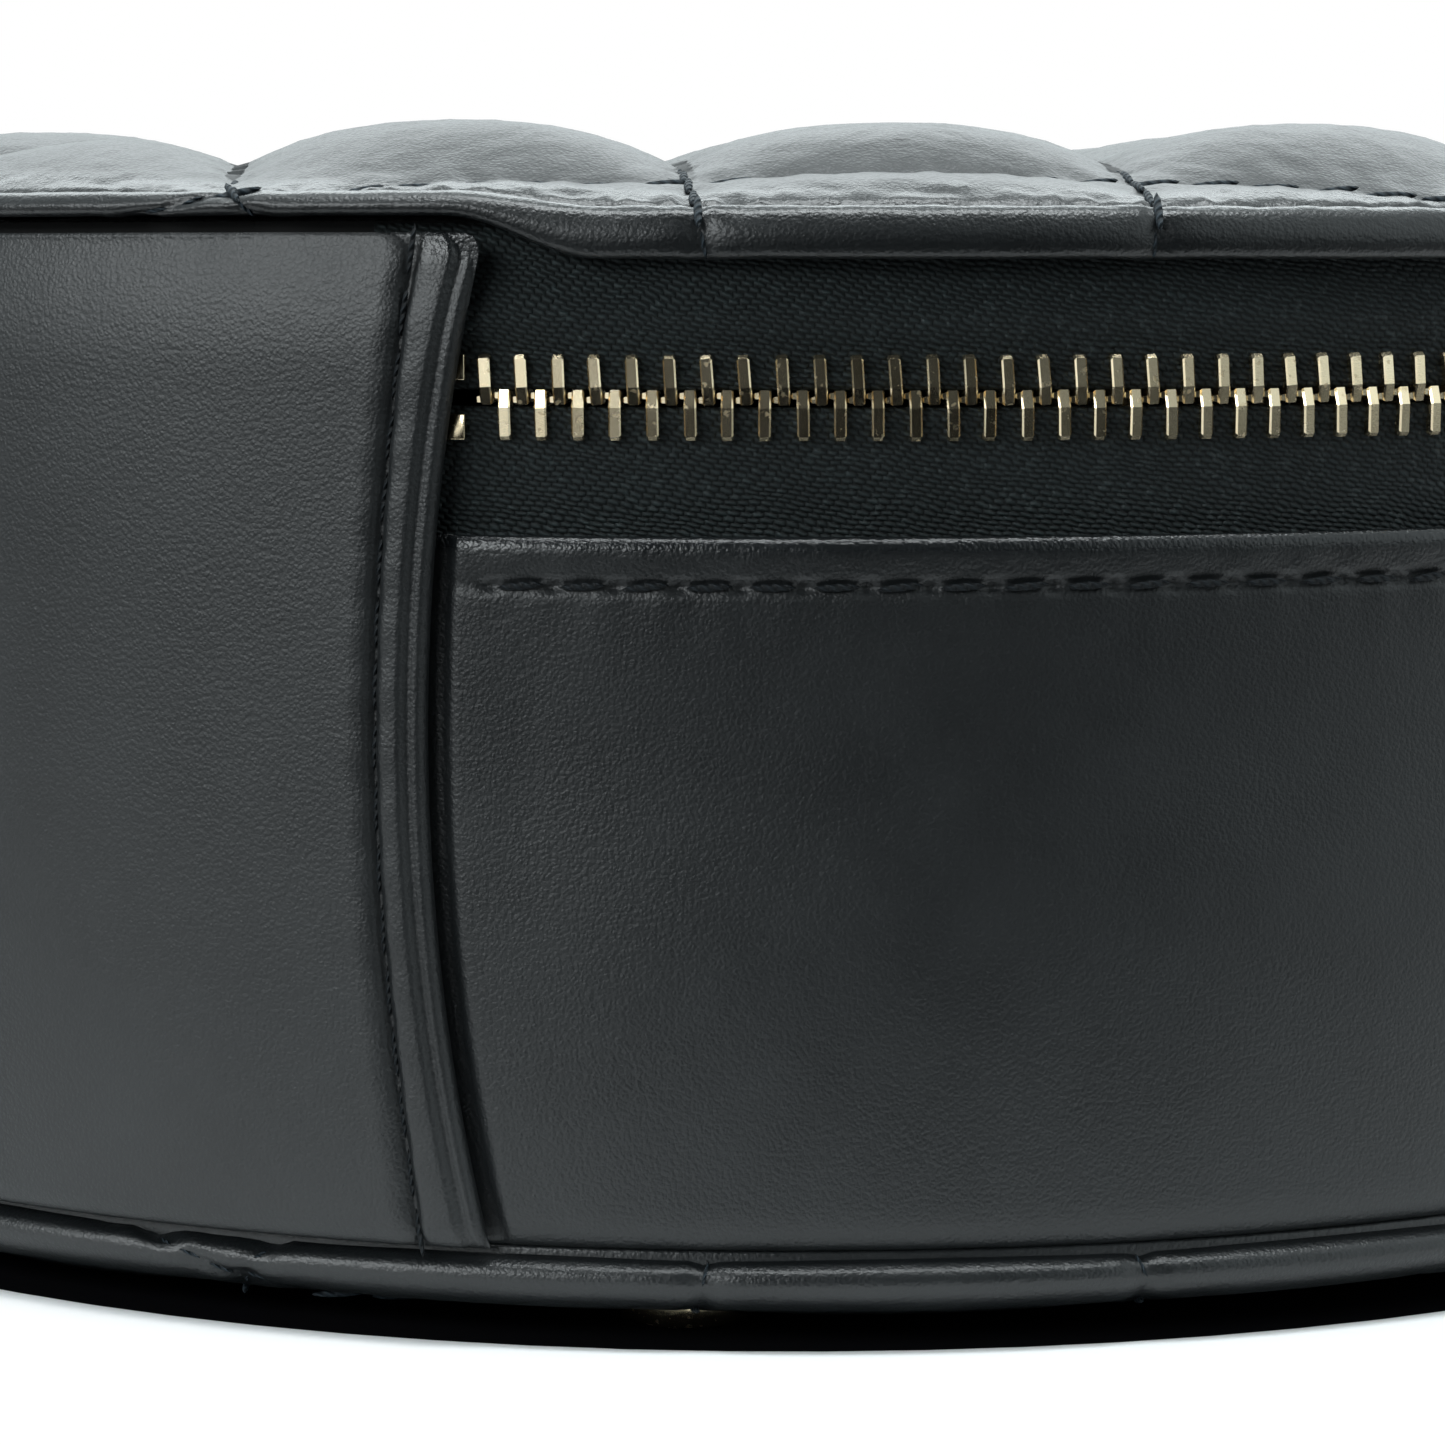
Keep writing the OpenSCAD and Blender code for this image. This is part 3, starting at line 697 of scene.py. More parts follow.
def body_panel_loops():
    a = np.radians(np.linspace(panel_end, 360 - panel_end, 1380))[:, None]
    fold = np.radians(np.linspace(0, 180, 13))
    face_z = np.concatenate([np.linspace(base_seam_z, base_seam_z + 2.9, 13),
                             np.linspace(base_seam_z + 3.8, topstitch_z - 1.6, 16),
                             np.linspace(topstitch_z - 1.1, topstitch_z + 0.9, 12),
                             np.linspace(topstitch_z + 1.2, panel_top_z - 1.1, 4)])
    back_z = np.array([panel_top_z - 1.5, base_seam_z + 1.5, base_seam_z])
    half = leather_t / 2
    r = np.concatenate([np.full(len(face_z), wall_r), wall_r - half + half * np.cos(fold),
                        wall_r - leather_t - np.array([0, 0, 0.35])])
    z = np.concatenate([face_z, panel_top_z - 0.9 + 0.9 * np.sin(fold), back_z])
    outside = np.concatenate([np.ones(len(face_z)), np.clip(np.cos(fold), 0, 1), 0 * back_z])
    arc = a * wall_r
    below = z - topstitch_z
    from_hinge = np.minimum(a, 2 * math.pi - a)
    beside_lip = (from_hinge - lip_angle(np.clip(z, base_seam_z, hinge_top_z))) * wall_r
    free = smooth(0.5, 6, beside_lip)
    d = 0.16 * ripple(arc / 26, z / 17, 3.3) + 0.05 * ripple(arc / 8, z / 9, 8.1)
    # A shallow hollow under the topstitch, the puffed band above it and its own groove.
    d = d - 0.55 * dent(below + 9, 8)
    d = d + 0.24 * smooth(0.2, 1.9, below) - 0.18 * dent(below, 0.4)
    step = (arc + below * 0.3) / topstitch_pitch
    hole = dent((step - np.round(step)) * topstitch_pitch, 0.5) * dent(below, 0.34)
    pull = np.cos(2 * math.pi * (arc / topstitch_pitch + below * 0.2))
    d = d + 0.05 * np.exp(-abs(below) / 1.3) * pull
    d = d + 0.05 * np.exp(-abs(below) / 2.5) * ripple(arc / 1.7, z / 3, 5.9)
    d = d * (0.3 + 0.7 * free) - 0.4 * hole * (beside_lip > 0.8)
    # Pressed in beside the lip, and turned under at the base seam.
    d = d - pressed_in * (1 - smooth(0.45, 1.2, beside_lip))
    turned = turned_under(z, 2.8)
    d = np.maximum(d, -pressed_in) * (1 - turned) - turn_depth * turned
    worn = smooth(panel_top_z - 1.1, panel_top_z - 0.5, z) * (outside > 0) + 0 * a
    return round_drum(r + d * outside, a, z + 0 * a), np.stack(
        np.broadcast_arrays(arc, z + 0 * a), -1), worn


wall_leather = lambskin("wall_lambskin", 0.42, 0.014, 0.030, 0.005, grain=0.34)
body_panel = loops_piece("body_panel_leather", wall_leather, *body_panel_loops())
fit(body_panel, "case_body", "body_panel")

black_thread = thread_finish("black_thread", (0.0010, 0.0016, 0.0022), (0.008, 0.0125, 0.016))
row_a = np.radians(np.arange(HINGE_HALF + 1.0, 360 - HINGE_HALF - 1.0, 0.3))
stitch_piece("body_panel_topstitch",
             [(round_drum(wall_r - 0.12, row_a, topstitch_z), round_drum(1, row_a, 0))],
             "case_body", "smooth_leather", black_thread, Pitch=topstitch_pitch * MM,
             Length=2.6 * MM, Thread=0.44 * MM, Lean=0.06, Unevenness=0.06, Seed=8)

# ==== Hinge panel ====
# The leather flap that joins the lid to the case behind. It stands in front of the drum with both
# side edges turned under into a rounded lip, bowed in at mid height, and sewn down in a deep
# groove about three millimetres from the edge.

corner_r = 1.5


def groove_from_edge(z):
    """How far the sewn groove lies from the edge, wider at the panel's ends."""
    return 2.9 + 0.9 * abs((z - hinge_mid_z) / bow_half) ** 3


def hinge_face_r(from_edge, z):
    """Radius of the panel's face: the lip's edge, its crease, its bead, the groove and the flat."""
    groove = groove_from_edge(z)
    rise = 1 - (1 - np.clip(from_edge / 0.7, 0, 1)) ** 2
    r = hinge_in_r - 0.1 + 0.85 * np.sqrt(np.clip(rise, 0, 1))
    r = r + 0.3 * smooth(0.8, 1.5, from_edge) - 0.22 * dent(from_edge - 1.05, 0.3)
    r = r - 0.46 * dent(from_edge - groove, 0.27) - 0.16 * dent(from_edge - groove, 0.8)
    r = r + 0.05 * dent(from_edge - groove - 1.3, 0.6)
    return r - 0.1 * smooth(groove + 0.5, groove + 6, from_edge)


def hinge_panel_loops():
    z = np.concatenate([np.linspace(base_seam_z, base_seam_z + 2, 9),
                        np.linspace(base_seam_z + 2.7, hinge_top_z - 5, 74),
                        np.linspace(hinge_top_z - 4.6, hinge_top_z, 20)])[:, None]
    corner = np.clip((z - hinge_top_z) / corner_r + 1, 0, 1)
    drawn_in = 0.8 * corner_r * (1 - np.sqrt(1 - 0.98 * corner ** 2))
    edge = lip_angle(z) - drawn_in / hinge_out_r
    near = np.concatenate([[0, 0.06, 0.15, 0.3], np.arange(0.45, 5.6, 0.17)])
    steps = np.linspace(0, 1, 64)[1:-1]
    left = -edge + near / hinge_out_r
    right = edge - near[::-1] / hinge_out_r
    middle = left[:, -1:] + (right[:, :1] - left[:, -1:]) * steps
    a = np.hstack([left, middle, right])
    from_edge = (edge - abs(a)) * hinge_out_r
    arc = a * hinge_out_r
    r = hinge_face_r(from_edge, z)
    in_flat = smooth(1, 8, from_edge)
    r = r + 0.12 * in_flat * ripple(arc / 20, z / 14, 4.4)
    off = from_edge - groove_from_edge(z)
    r = r + 0.06 * dent(off, 1.2) * np.cos(2 * math.pi * z / STITCH_PITCH)
    r = r + 0.04 * np.exp(-abs(off) / 1.5) * ripple(z / 1.3, off / 2.5, 6.6)
    # Rolled in at the top under the lid's rim, and turned under at the base seam.
    top = np.clip((z - hinge_top_z) / 7 + 1, 0, 1)
    r = r + 0.06 * top * ripple(arc / 1.1, z / 4, 2.2) - 1.05 * top ** 1.8
    r = np.maximum(r - turn_depth * turned_under(z, 1.9), hinge_in_r - 0.05)
    back_a = a[:, ::-1][:, ::3]
    back_r = hinge_in_r - 0.16 + 0 * back_a
    loops = np.concatenate([round_drum(r, a, z), round_drum(back_r, back_a, z)], 1)
    uv = np.concatenate([np.stack([arc, z + 0 * arc], -1),
                         np.stack([back_a * hinge_out_r, z + 0 * back_a], -1)], 1)
    worn = smooth(hinge_top_z - 2.2, hinge_top_z - 0.6, z) * (1 - smooth(2, 5, from_edge))
    worn = np.concatenate([worn, 0 * back_a], 1)
    return loops, uv, worn


hinge_leather = lambskin("hinge_lambskin", 0.42, 0.008, 0.028, 0.004, grain=0.34)
hinge_panel = loops_piece("hinge_panel_leather", hinge_leather, *hinge_panel_loops())
fit(hinge_panel, "case_body", "hinge_panel")

sewn_z = np.arange(base_seam_z + 0.8, hinge_top_z - 0.6, 0.4)
sewn_r = hinge_face_r(groove_from_edge(sewn_z), sewn_z) + 0.05
sewn_lines = []
for side in (-1, 1):
    sewn_a = side * (lip_angle(sewn_z) - groove_from_edge(sewn_z) / hinge_out_r)
    sewn_lines.append((round_drum(sewn_r, sewn_a, sewn_z), round_drum(1, sewn_a, 0 * sewn_z)))
stitch_piece("hinge_panel_stitches", sewn_lines, "case_body", "smooth_leather", black_thread,
             Pitch=STITCH_PITCH * MM, Length=2.9 * MM, Thread=0.34 * MM, Lean=-0.03,
             Unevenness=0.03, Seed=13)

# ==== Zip tapes ====
# Two woven tapes, sewn in behind the wall's folded edge and up inside the lid's rim. Each has a
# corded edge that the teeth are clamped on. The lid's tape rides on neither the case nor the lid.

lower_box = node_box("zipper_tape_lower")
upper_box = node_box("zipper_tape_upper")
tape_t = 0.5
tape_r = lower_box[1][0] - tape_t
tape_end = 23.98


def woven_tape(name, low, high):
    """Twill tape in its own flat coordinates: short floats in rows, each row a step along."""
    tape = Finish(name, Roughness=0.8, Specular_IOR_Level=0.25)
    u, v, _ = tape.parts(tape.node("ShaderNodeUVMap", {"uv_map": "UVMap"}))
    sway = tape.speckle(1.3, 2) - 0.5
    bend = tape.speckle(4.5, 2, stretch=(1, 1, 1.7)) - 0.5
    row = (v - u * 0.12 + sway * 0.3 + bend * 0.7) / 0.3
    step = (u + sway * 0.5) / 0.68 + row.floor() * 0.37
    lift = step.fraction() - 0.5
    across = ((row - lift * 0.35).fraction() * 2 - 1).abs()
    along = (lift * 2).abs()
    float_h = (1 - across ** 2.4) * (1 - along ** 3)
    yarn = tape.speckle(0.07, 2)
    shine = ((tape.speckle(0.5, 2) - 0.56) * 8).clamp(0, 1)
    # Painted highlight: the raised floats and the shiny patches are lighter in colour, over the
    # yarn's own uneven tone.
    yarn_tone_and_highlight = (float_h * 0.6 + yarn * 0.3 + (tape.speckle(9, 3) - 0.5) * 0.3 + shine * 0.5).clamp(0, 1)
    tape.feed("Base Color", tape.blend(yarn_tone_and_highlight, low, high))
    tape.feed("Roughness", 0.84 - float_h * 0.14 - shine * 0.25)
    tape.emboss(float_h * 0.2 + yarn * 0.04)
    return tape.material


tape_weave = woven_tape("zip_tape_twill", (0.0010, 0.0016, 0.0017), (0.0185, 0.0265, 0.0275))


def tape_piece(name, node, z_edge, z_sewn, seed):
    """A tape from its corded edge by the teeth to the edge that is sewn in."""
    a = np.radians(np.linspace(tape_end, 360 - tape_end, 620))[:, None]
    width = abs(z_sewn - z_edge)
    away = 1 if z_sewn > z_edge else -1
    across = np.concatenate([[0, 0.12, 0.35, 0.6, 0.85, 1.1, 1.4], np.linspace(2.2, width, 12)])
    bead = 0.16 * np.sqrt(np.clip(1 - (across - 0.55) ** 2 / 0.3, 0, 1))
    front = tape_r + tape_t + bead - 0.08 * dent(across, 0.12)
    back = tape_r - bead
    r = np.concatenate([front, back[::-1]])
    d = np.concatenate([across, across[::-1]])
    arc = a * tape_r
    wave = 0.09 * ripple(arc / 7, d / 6, seed) * smooth(1, 3, d) * (1 - smooth(5, 7, d))
    if away > 0:
        wave = wave + 0.45 * dent(d - 3.9, 1.3) - 0.25 * smooth(5, 7, d)
    z = z_edge + away * d + 0 * a
    loops = round_drum(r + wave, a, z)
    piece = loops_piece(name, tape_weave, loops, np.stack(np.broadcast_arrays(arc, z), -1))
    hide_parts(node)
    return piece


tape_lower = tape_piece("zipper_tape_lower_woven", "zipper_tape_lower", lower_box[1][2] + 0.8,
                        lower_box[0][2], 21.5)
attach(tape_lower, "case_body")

stay_y = tape_r * math.cos(math.radians(HINGE_HALF))
swing_y = tape_r * math.cos(math.radians(62))


def lid_side(piece):
    """Bakes a piece's place into its mesh; the piece rides on neither body."""
    stay_y * MM
    swing_y * MM
    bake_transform(piece)


tape_upper = tape_piece("zipper_tape_upper_woven", "zipper_tape_upper", upper_box[0][2] - 0.9,
                        upper_box[1][2], 27.5)
lid_side(tape_upper)

# ==== Zip teeth ====
# Stamped gilt brass teeth, one row on each tape. Each grips the corded edge with two legs; its
# face is flat with bevelled sides, slopes at the head, and has a small nub that the next head
# rides on. They are set one at a time, so no two stand quite alike.

TOOTH_PITCH = 2.0
tooth_half = 0.335
zip_z = (lower_box[1][2] + upper_box[0][2]) / 2
chain_r = tape_r + tape_t / 2
pitch_a = TOOTH_PITCH / chain_r
first_a = math.radians(32.29)
tooth_count = 215


def gilt(name, brushed, stretch=(1, 1, 1), low=(0.80, 0.64, 0.40), high=(0.95, 0.83, 0.60)):
    """Pale gold plate with fine drawing lines, a little haze and small nicks."""
    metal = Finish(name, Metallic=1.0)
    lines = metal.speckle(0.05, 2, stretch=stretch)
    haze = metal.speckle(3, 4)
    nick = ((metal.speckle(0.5, 3) - 0.62) * 9).clamp(0, 1)
    metal.feed("Base Color", metal.blend((haze * 0.8 + lines * 0.3 - nick * 0.5).clamp(0, 1),
                                         low, high))
    metal.feed("Roughness", (brushed + lines * 0.12 + haze * 0.1 + nick * 0.2 - 0.1).clamp(0.05, 1))
    metal.emboss(lines * 0.003 - nick * 0.003)
    return metal.material


gilt_teeth = gilt("gilt_teeth", 0.2, stretch=(0.3, 0.3, 1.5))


def one_tooth(up):
    """A tooth at the origin: X along the chain, Y outwards; up is 1 for the lid's row."""
    side = [(0.28, 1.3), (0.28, 2.3), (0.6, 2.3), (0.80, 2.1), (0.86, 0.55), (0.60, -0.4),
            (-0.60, -0.4), (-0.86, 0.55), (-0.80, 2.1), (-0.6, 2.3), (-0.28, 2.3), (-0.28, 1.3)]
    side = np.array(side)
    middle = np.array([0, 0.9])
    bevel = 0.09
    points = []
    for x, inset in ((-tooth_half, bevel), (-tooth_half + bevel, 0), (tooth_half - bevel, 0),
                     (tooth_half, bevel)):
        pull = np.where(abs(side - middle) > 0.4, np.sign(side - middle) * inset, 0)
        points += [(x, y, z) for y, z in side - pull]
    faces = skin(4, len(side)) + skin(3, 4, first=len(points))
    for x, grow in ((tooth_half - 0.02, 0), (tooth_half + 0.2, 0.03), (tooth_half + 0.3, 0.12)):
        points += [(x, y, z) for y, z in ((0.5 - grow, -0.28 + grow), (0.5 - grow, 0.08 - grow),
                                          (-0.5 + grow, 0.08 - grow), (-0.5 + grow, -0.28 + grow))]
    return np.array(points) * [1, 1, up], faces


tooth_row = Tree("tooth_row", [("Count", "NodeSocketInt", 10),
                               ("First", "NodeSocketFloat", 0.0),
                               ("Step", "NodeSocketFloat", 0.02),
                               ("Radius", "NodeSocketFloat", 0.08),
                               ("Height", "NodeSocketFloat", 0.05),
                               ("Lean", "NodeSocketFloat", 0.0),
                               ("Unevenness", "NodeSocketFloat", 0.02),
                               ("Seed", "NodeSocketInt", 1),
                               ("Material", "NodeSocketMaterial", None)])


def build_tooth_row(t):
    line = t.node("GeometryNodeMeshLine", {}, {"Count": t.given("Count")})
    number = t.node("GeometryNodeInputIndex")
    angle = t.math("MULTIPLY_ADD", number, t.given("Step"), t.given("First"))
    x = t.math("MULTIPLY", t.math("SINE", angle), t.given("Radius"))
    y = t.math("MULTIPLY", t.math("COSINE", angle), t.given("Radius"))
    where = t.node("ShaderNodeCombineXYZ", {}, {"X": x, "Y": y, "Z": t.given("Height")})
    ring = t.node("GeometryNodeSetPosition", {}, {0: line, "Position": where})
    wobble = t.node("FunctionNodeRandomValue", {"data_type": "FLOAT_VECTOR"},
                    {"Min": (-1, -1, -1), "Max": (1, 1, 1), "Seed": t.given("Seed")})
    sway = t.node("ShaderNodeVectorMath", {"operation": "SCALE"},
                  {0: wobble, "Scale": t.given("Unevenness")})
    stand = t.node("ShaderNodeCombineXYZ", {}, {"Y": t.given("Lean")})
    tilt = t.node("ShaderNodeVectorMath", {"operation": "ADD"}, {0: sway, 1: stand})
    faced = t.node("ShaderNodeCombineXYZ", {}, {"Z": t.math("MULTIPLY", angle, -1.0)})
    turned = t.node("FunctionNodeRotateRotation", {"rotation_space": "LOCAL"}, {0: faced, 1: tilt})
    t.finish(t.node("GeometryNodeInstanceOnPoints", {},
                    {"Points": ring, "Instance": t.given("Geometry"), "Rotation": turned}))


build_tooth_row(tooth_row)


def teeth_piece(name, node, up, lean, seed):
    points, faces = one_tooth(up)
    piece = mesh_piece(name, points, faces, gilt_teeth, smooth_faces=False)
    start = first_a + (pitch_a / 2 if up > 0 else 0)
    tooth_row.run(piece, Count=tooth_count, First=start, Step=pitch_a, Radius=chain_r * MM,
                  Height=zip_z * MM, Lean=lean, Unevenness=0.022, Seed=seed, Material=gilt_teeth)
    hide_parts(node)
    return piece


teeth_lower = teeth_piece("zipper_teeth_lower_row", "zipper_teeth_lower", -1, 0.01, 17)
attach(teeth_lower, "case_body")
teeth_upper = teeth_piece("zipper_teeth_upper_row", "zipper_teeth_upper", 1, 0.06, 19)
lid_side(teeth_upper)

# ==== Gilt fittings ====
# The crimped end stops, the slider with its bridge, the pull's link and stud, the feet and the
# mirror's frame: die-cast or stamped, tumbled so that their edges are soft, and plated.

bright_gilt = gilt("gilt_bright", 0.16)
turned_gilt = gilt("gilt_turned", 0.2, stretch=(0.2, 0.2, 2.0))


def eased(node, name, width, material, segments=2, angle=28):
    """A copy of a CAD part with its edges rounded, in the part's place."""
    source = frame["nodes"][node]
    mesh = source.data.copy()
    mesh.name = name
    shape = bmesh.new()
    shape.from_mesh(mesh)
    bmesh.ops.remove_doubles(shape, verts=shape.verts, dist=1e-6)
    bmesh.ops.dissolve_limit(shape, angle_limit=math.radians(1.5), verts=shape.verts,
                             edges=shape.edges)
    bmesh.ops.recalc_face_normals(shape, faces=shape.faces)
    shape.to_mesh(mesh)
    shape.free()
    mesh.polygons.foreach_set("use_smooth", [True] * len(mesh.polygons))
    mesh.materials.clear()
    mesh.materials.append(material)
    piece = into_scene(name, mesh)
    bevel = piece.modifiers.new("soft_edges", "BEVEL")
    bevel.width = width * MM
    bevel.segments = segments
    bevel.limit_method = "ANGLE"
    bevel.angle_limit = math.radians(angle)
    bevel.harden_normals = True
    seen = piece.evaluated_get(bpy.context.evaluated_depsgraph_get())
    piece.data = bpy.data.meshes.new_from_object(seen)
    piece.modifiers.clear()
    return piece


for node, body, width, metal in (("base_feet", "case_body", 0.12, turned_gilt),
                                 ("zipper_stops_lower", "case_body", 0.08, bright_gilt),
                                 ("zipper_stops_upper", "lid", 0.08, bright_gilt),
                                 ("mirror_frame", "lid", 0.25, turned_gilt),
                                 ("slider_body", "slider", 0.12, bright_gilt),
                                 ("slider_bridge", "slider", 0.1, bright_gilt),
                                 ("pull_link", "pull", 0.1, bright_gilt),
                                 ("pull_stud", "pull", 0.12, turned_gilt)):
    fitting = eased(node, node + "_plated", width, metal)
    if node == "zipper_stops_upper":
        lid_side(fitting)
    else:
        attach(fitting, body)
    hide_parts(node)

# ==== Leather pull ====
# A strip of the same lambskin, folded round the link's lower bar, glued back on itself, sewn
# along both edges and riveted with the stud.

pull_leather = lambskin("pull_lambskin", 0.42, 0.012, 0.026, 0.006, grain=0.34)
pull_tab = eased("pull_tab", "pull_tab_leather", 0.35, pull_leather, segments=3)
fit(pull_tab, "pull", "pull_tab")

tab_low, tab_high = node_box("pull_tab")
pull_a = math.radians(32.06)
pull_r = 85.5
tab_half = 4.0
tab_face = 1.0
tab_margin = 1.0
tab_lines = []
down = np.arange(tab_low[2] + 3, tab_high[2] - 9, 0.4)
for face in (-1, 1):
    for side in (-1, 1):
        reach = pull_r + face * tab_face
        along = side * (tab_half - tab_margin) * np.ones(len(down))
        x = reach * math.sin(pull_a) + along * math.cos(pull_a)
        y = reach * math.cos(pull_a) - along * math.sin(pull_a)
        out = np.tile([face * math.sin(pull_a), face * math.cos(pull_a), 0], (len(down), 1))
        tab_lines.append((np.stack([x, y, down], 1), out))
stitch_piece("pull_tab_stitches", tab_lines, "pull", "smooth_leather", black_thread,
             Pitch=2.4 * MM, Length=1.9 * MM, Thread=0.36 * MM, Unevenness=0.06, Seed=23)

# ==== Boards and foam ====
# The stiffening that the leather is drawn over: grey bookbinder's board in the sole, wall, hinge
# and lid, and an open foam under both quilted covers. The boards are painted black from a little
# inside the rim outwards, as painted shade where they show in the seam grooves.


def greyboard():
    board = Finish("greyboard", Roughness=0.9)
    fibre = board.speckle(0.8, 5, stretch=(1, 1, 0.4))
    fleck = ((board.speckle(0.35, 2) - 0.66) * 12).clamp(0, 1)
    x, y, _ = board.parts(board.place)
    # Painted shade: the board turns black from a little inside the rim outwards.
    shade_from, shade_fade = (rim_r - 3.2) * MM, 0.3 * MM
    edge_shade = (((x * x + y * y) ** 0.5 - shade_from) / shade_fade).clamp(0, 1)
    bare = (0.5 + (fibre * 0.8 - fleck * 0.5).clamp(0, 1) * 0.5) * (1 - edge_shade)
    board.feed("Base Color", board.blend(bare, (0.003, 0.003, 0.003), (0.33, 0.31, 0.28)))
    board.emboss(fibre * 0.04 - fleck * 0.02)
    return board.material


def foam_finish():
    foam = Finish("polyether_foam", Roughness=0.95)
    holes = foam.cells(0.7, warp=0.4)
    # Painted shade: each cell is darker towards its hollow middle.
    foam.feed("Base Color", foam.blend((holes * 1.3).clamp(0, 1), (0.05, 0.05, 0.052),
                                       (0.15, 0.15, 0.155)))
    foam.emboss(holes * 0.25)
    return foam.material


def dress(node, material):
    """Gives a carried-over CAD part its material."""
    slots = frame["nodes"][node].material_slots
    if not slots:
        frame["nodes"][node].data.materials.append(None)
    for place in frame["nodes"][node].material_slots:
        place.material = material


board_material = greyboard()
foam_material = foam_finish()
for node in ("base_board", "wall_board", "hinge_stiffener", "lid_board"):
    dress(node, board_material)
for node in ("base_foam", "lid_foam"):
    dress(node, foam_material)

# ==== Linings ====
# Charcoal suede glued to card: round the wall, behind the hinge and over the lid's board. The nap
# lies in soft streaks where it has been stroked.


def suede(name, low=(0.018, 0.017, 0.019), high=(0.062, 0.060, 0.065)):
    nap = Finish(name, Roughness=0.92, Sheen_Weight=0.35, Sheen_Roughness=0.4,
                 Specular_IOR_Level=0.25)
    stroke = nap.speckle(11, 3, stretch=(1, 1, 1.7))
    fibre = nap.speckle(0.09, 3)
    tuft = nap.cells(0.3, warp=0.6)
    nap.feed("Base Color", nap.blend(((stroke - 0.35) * 1.6 + (fibre - 0.5) * 0.7).clamp(0, 1),
                                     low, high))
    nap.emboss(fibre * 0.05 - tuft * 0.03 + stroke * 0.05)
    return nap.material


suede_material = suede("charcoal_suede")
for node in ("wall_lining", "hinge_lining", "lid_lining"):
    dress(node, suede_material)

# ==== Mirror ====
# A round bevelled glass held in the gilt frame's lip under the lid.


def mirror_finish():
    glass = Finish("silvered_glass", Metallic=1.0)
    dust = ((glass.speckle(0.7, 4) - 0.6) * 5).clamp(0, 1)
    smear = glass.speckle(14, 3, stretch=(1, 2.5, 1))
    glass.feed("Base Color", glass.blend(dust, (0.90, 0.92, 0.93), (0.78, 0.80, 0.81)))
    glass.feed("Roughness", (0.015 + dust * 0.05 + (smear - 0.5).abs() * 0.05).clamp(0.01, 0.2))
    return glass.material


mirror_glass = eased("mirror_glass", "mirror_glass_silvered", 0.3, mirror_finish())
fit(mirror_glass, "lid", "mirror_glass")

# ==== Dividers and floor pad ====
# Board dividers wrapped in suede with rounded top edges, standing on a loose padded floor.

for node in ("long_divider", "cross_dividers"):
    fit(eased(node, node + "_suede", 0.9, suede_material, segments=4), "case_body", node)

pad_low, pad_high = node_box("floor_pad")
pad_r, _, pad_top = pad_high
pad_cover = Cover(rim=[(pad_r - 1.4, pad_top - 0.15), (pad_r - 0.7, pad_top - 0.25),
                       (pad_r - 0.2, pad_top - 0.7), (pad_r - 0.1, pad_low[2] + 0.5),
                       (pad_r - 0.8, pad_low[2] + 0.02)],
                  ridge_z=pad_top - 0.15, mean_h=0.1, puff_h=0.0, edge=9, rim_puff=0.0,
                  crinkle=0.02, polish=0, seed=41)
pad_rows = np.concatenate([np.arange(75, pad_cover.ridge_s, 0.8),
                           np.arange(pad_cover.ridge_s, pad_cover.end_s + 0.01, 0.4)])
floor_pad = pad_cover.piece("floor_pad_suede", count=70, disc_s=74.2, rows=pad_rows,
                            inside=[(pad_r - 3, pad_low[2]), (40, pad_low[2])],
                            material=suede_material)
fit(floor_pad, "case_body", "floor_pad")

# ==== Ring rolls ====
# Five stuffed suede rolls that grip rings between them, on a padded bed with a hollow under each.
# Their ends are gathered and tucked in.

bed_low, bed_high = node_box("ring_bed")
rolls_low, rolls_high = node_box("ring_rolls")
roll_pitch = 12.5
roll_count = 5
roll_r = (rolls_high[2] - rolls_low[2]) / 2
roll_z = (rolls_high[2] + rolls_low[2]) / 2
roll_y = rolls_low[1] + roll_r
room_r = pad_r


def roll_loops(y, half, seed):
    """One roll as loops round its own axis, from one gathered end to the other."""
    end = curve([(0.9, 0.35), (0.25, 1.6), (0.0, 3.4), (0.5, 4.9), (1.6, 5.7), (3.4, roll_r)],
                0.55)
    stations = np.concatenate([end[:, 0], np.linspace(4.4, half, 24)])
    radii = np.concatenate([end[:, 1], np.full(24, roll_r)])
    x = np.concatenate([-half + stations, half - stations[-2::-1]])[:, None]
    r = np.concatenate([radii, radii[-2::-1]])[:, None]
    turn = np.linspace(0, 2 * math.pi, 44, endpoint=False)
    gather = np.exp(-(half - abs(x)) / 2.5)
    r = r - 0.16 * gather * (1 + np.cos(16 * turn)) * smooth(0.3, 3, r)
    r = r + 0.14 * (ripple(x / 11, 3 * np.cos(turn), seed) - 0.6) * smooth(2, 5, r)
    r = r - 0.25 * dent((turn - 4.4) * roll_r, 0.5) * smooth(3, 5.5, r)
    return np.stack([x + 0 * turn, y + r * np.cos(turn), roll_z + r * np.sin(turn)], -1)


roll_points = []
roll_faces = []
for i in range(roll_count):
    y = roll_y + i * roll_pitch
    half = math.sqrt(room_r ** 2 - (y + roll_r) ** 2) - 1
    loops = roll_loops(y, half, 50 + i)
    roll_faces += skin(*loops.shape[:2], first=sum(map(len, roll_points)))
    roll_points.append(loops.reshape(-1, 3))
ring_rolls = mesh_piece("ring_rolls_suede", np.vstack(roll_points), roll_faces, suede_material)
fit(ring_rolls, "case_body", "ring_rolls")


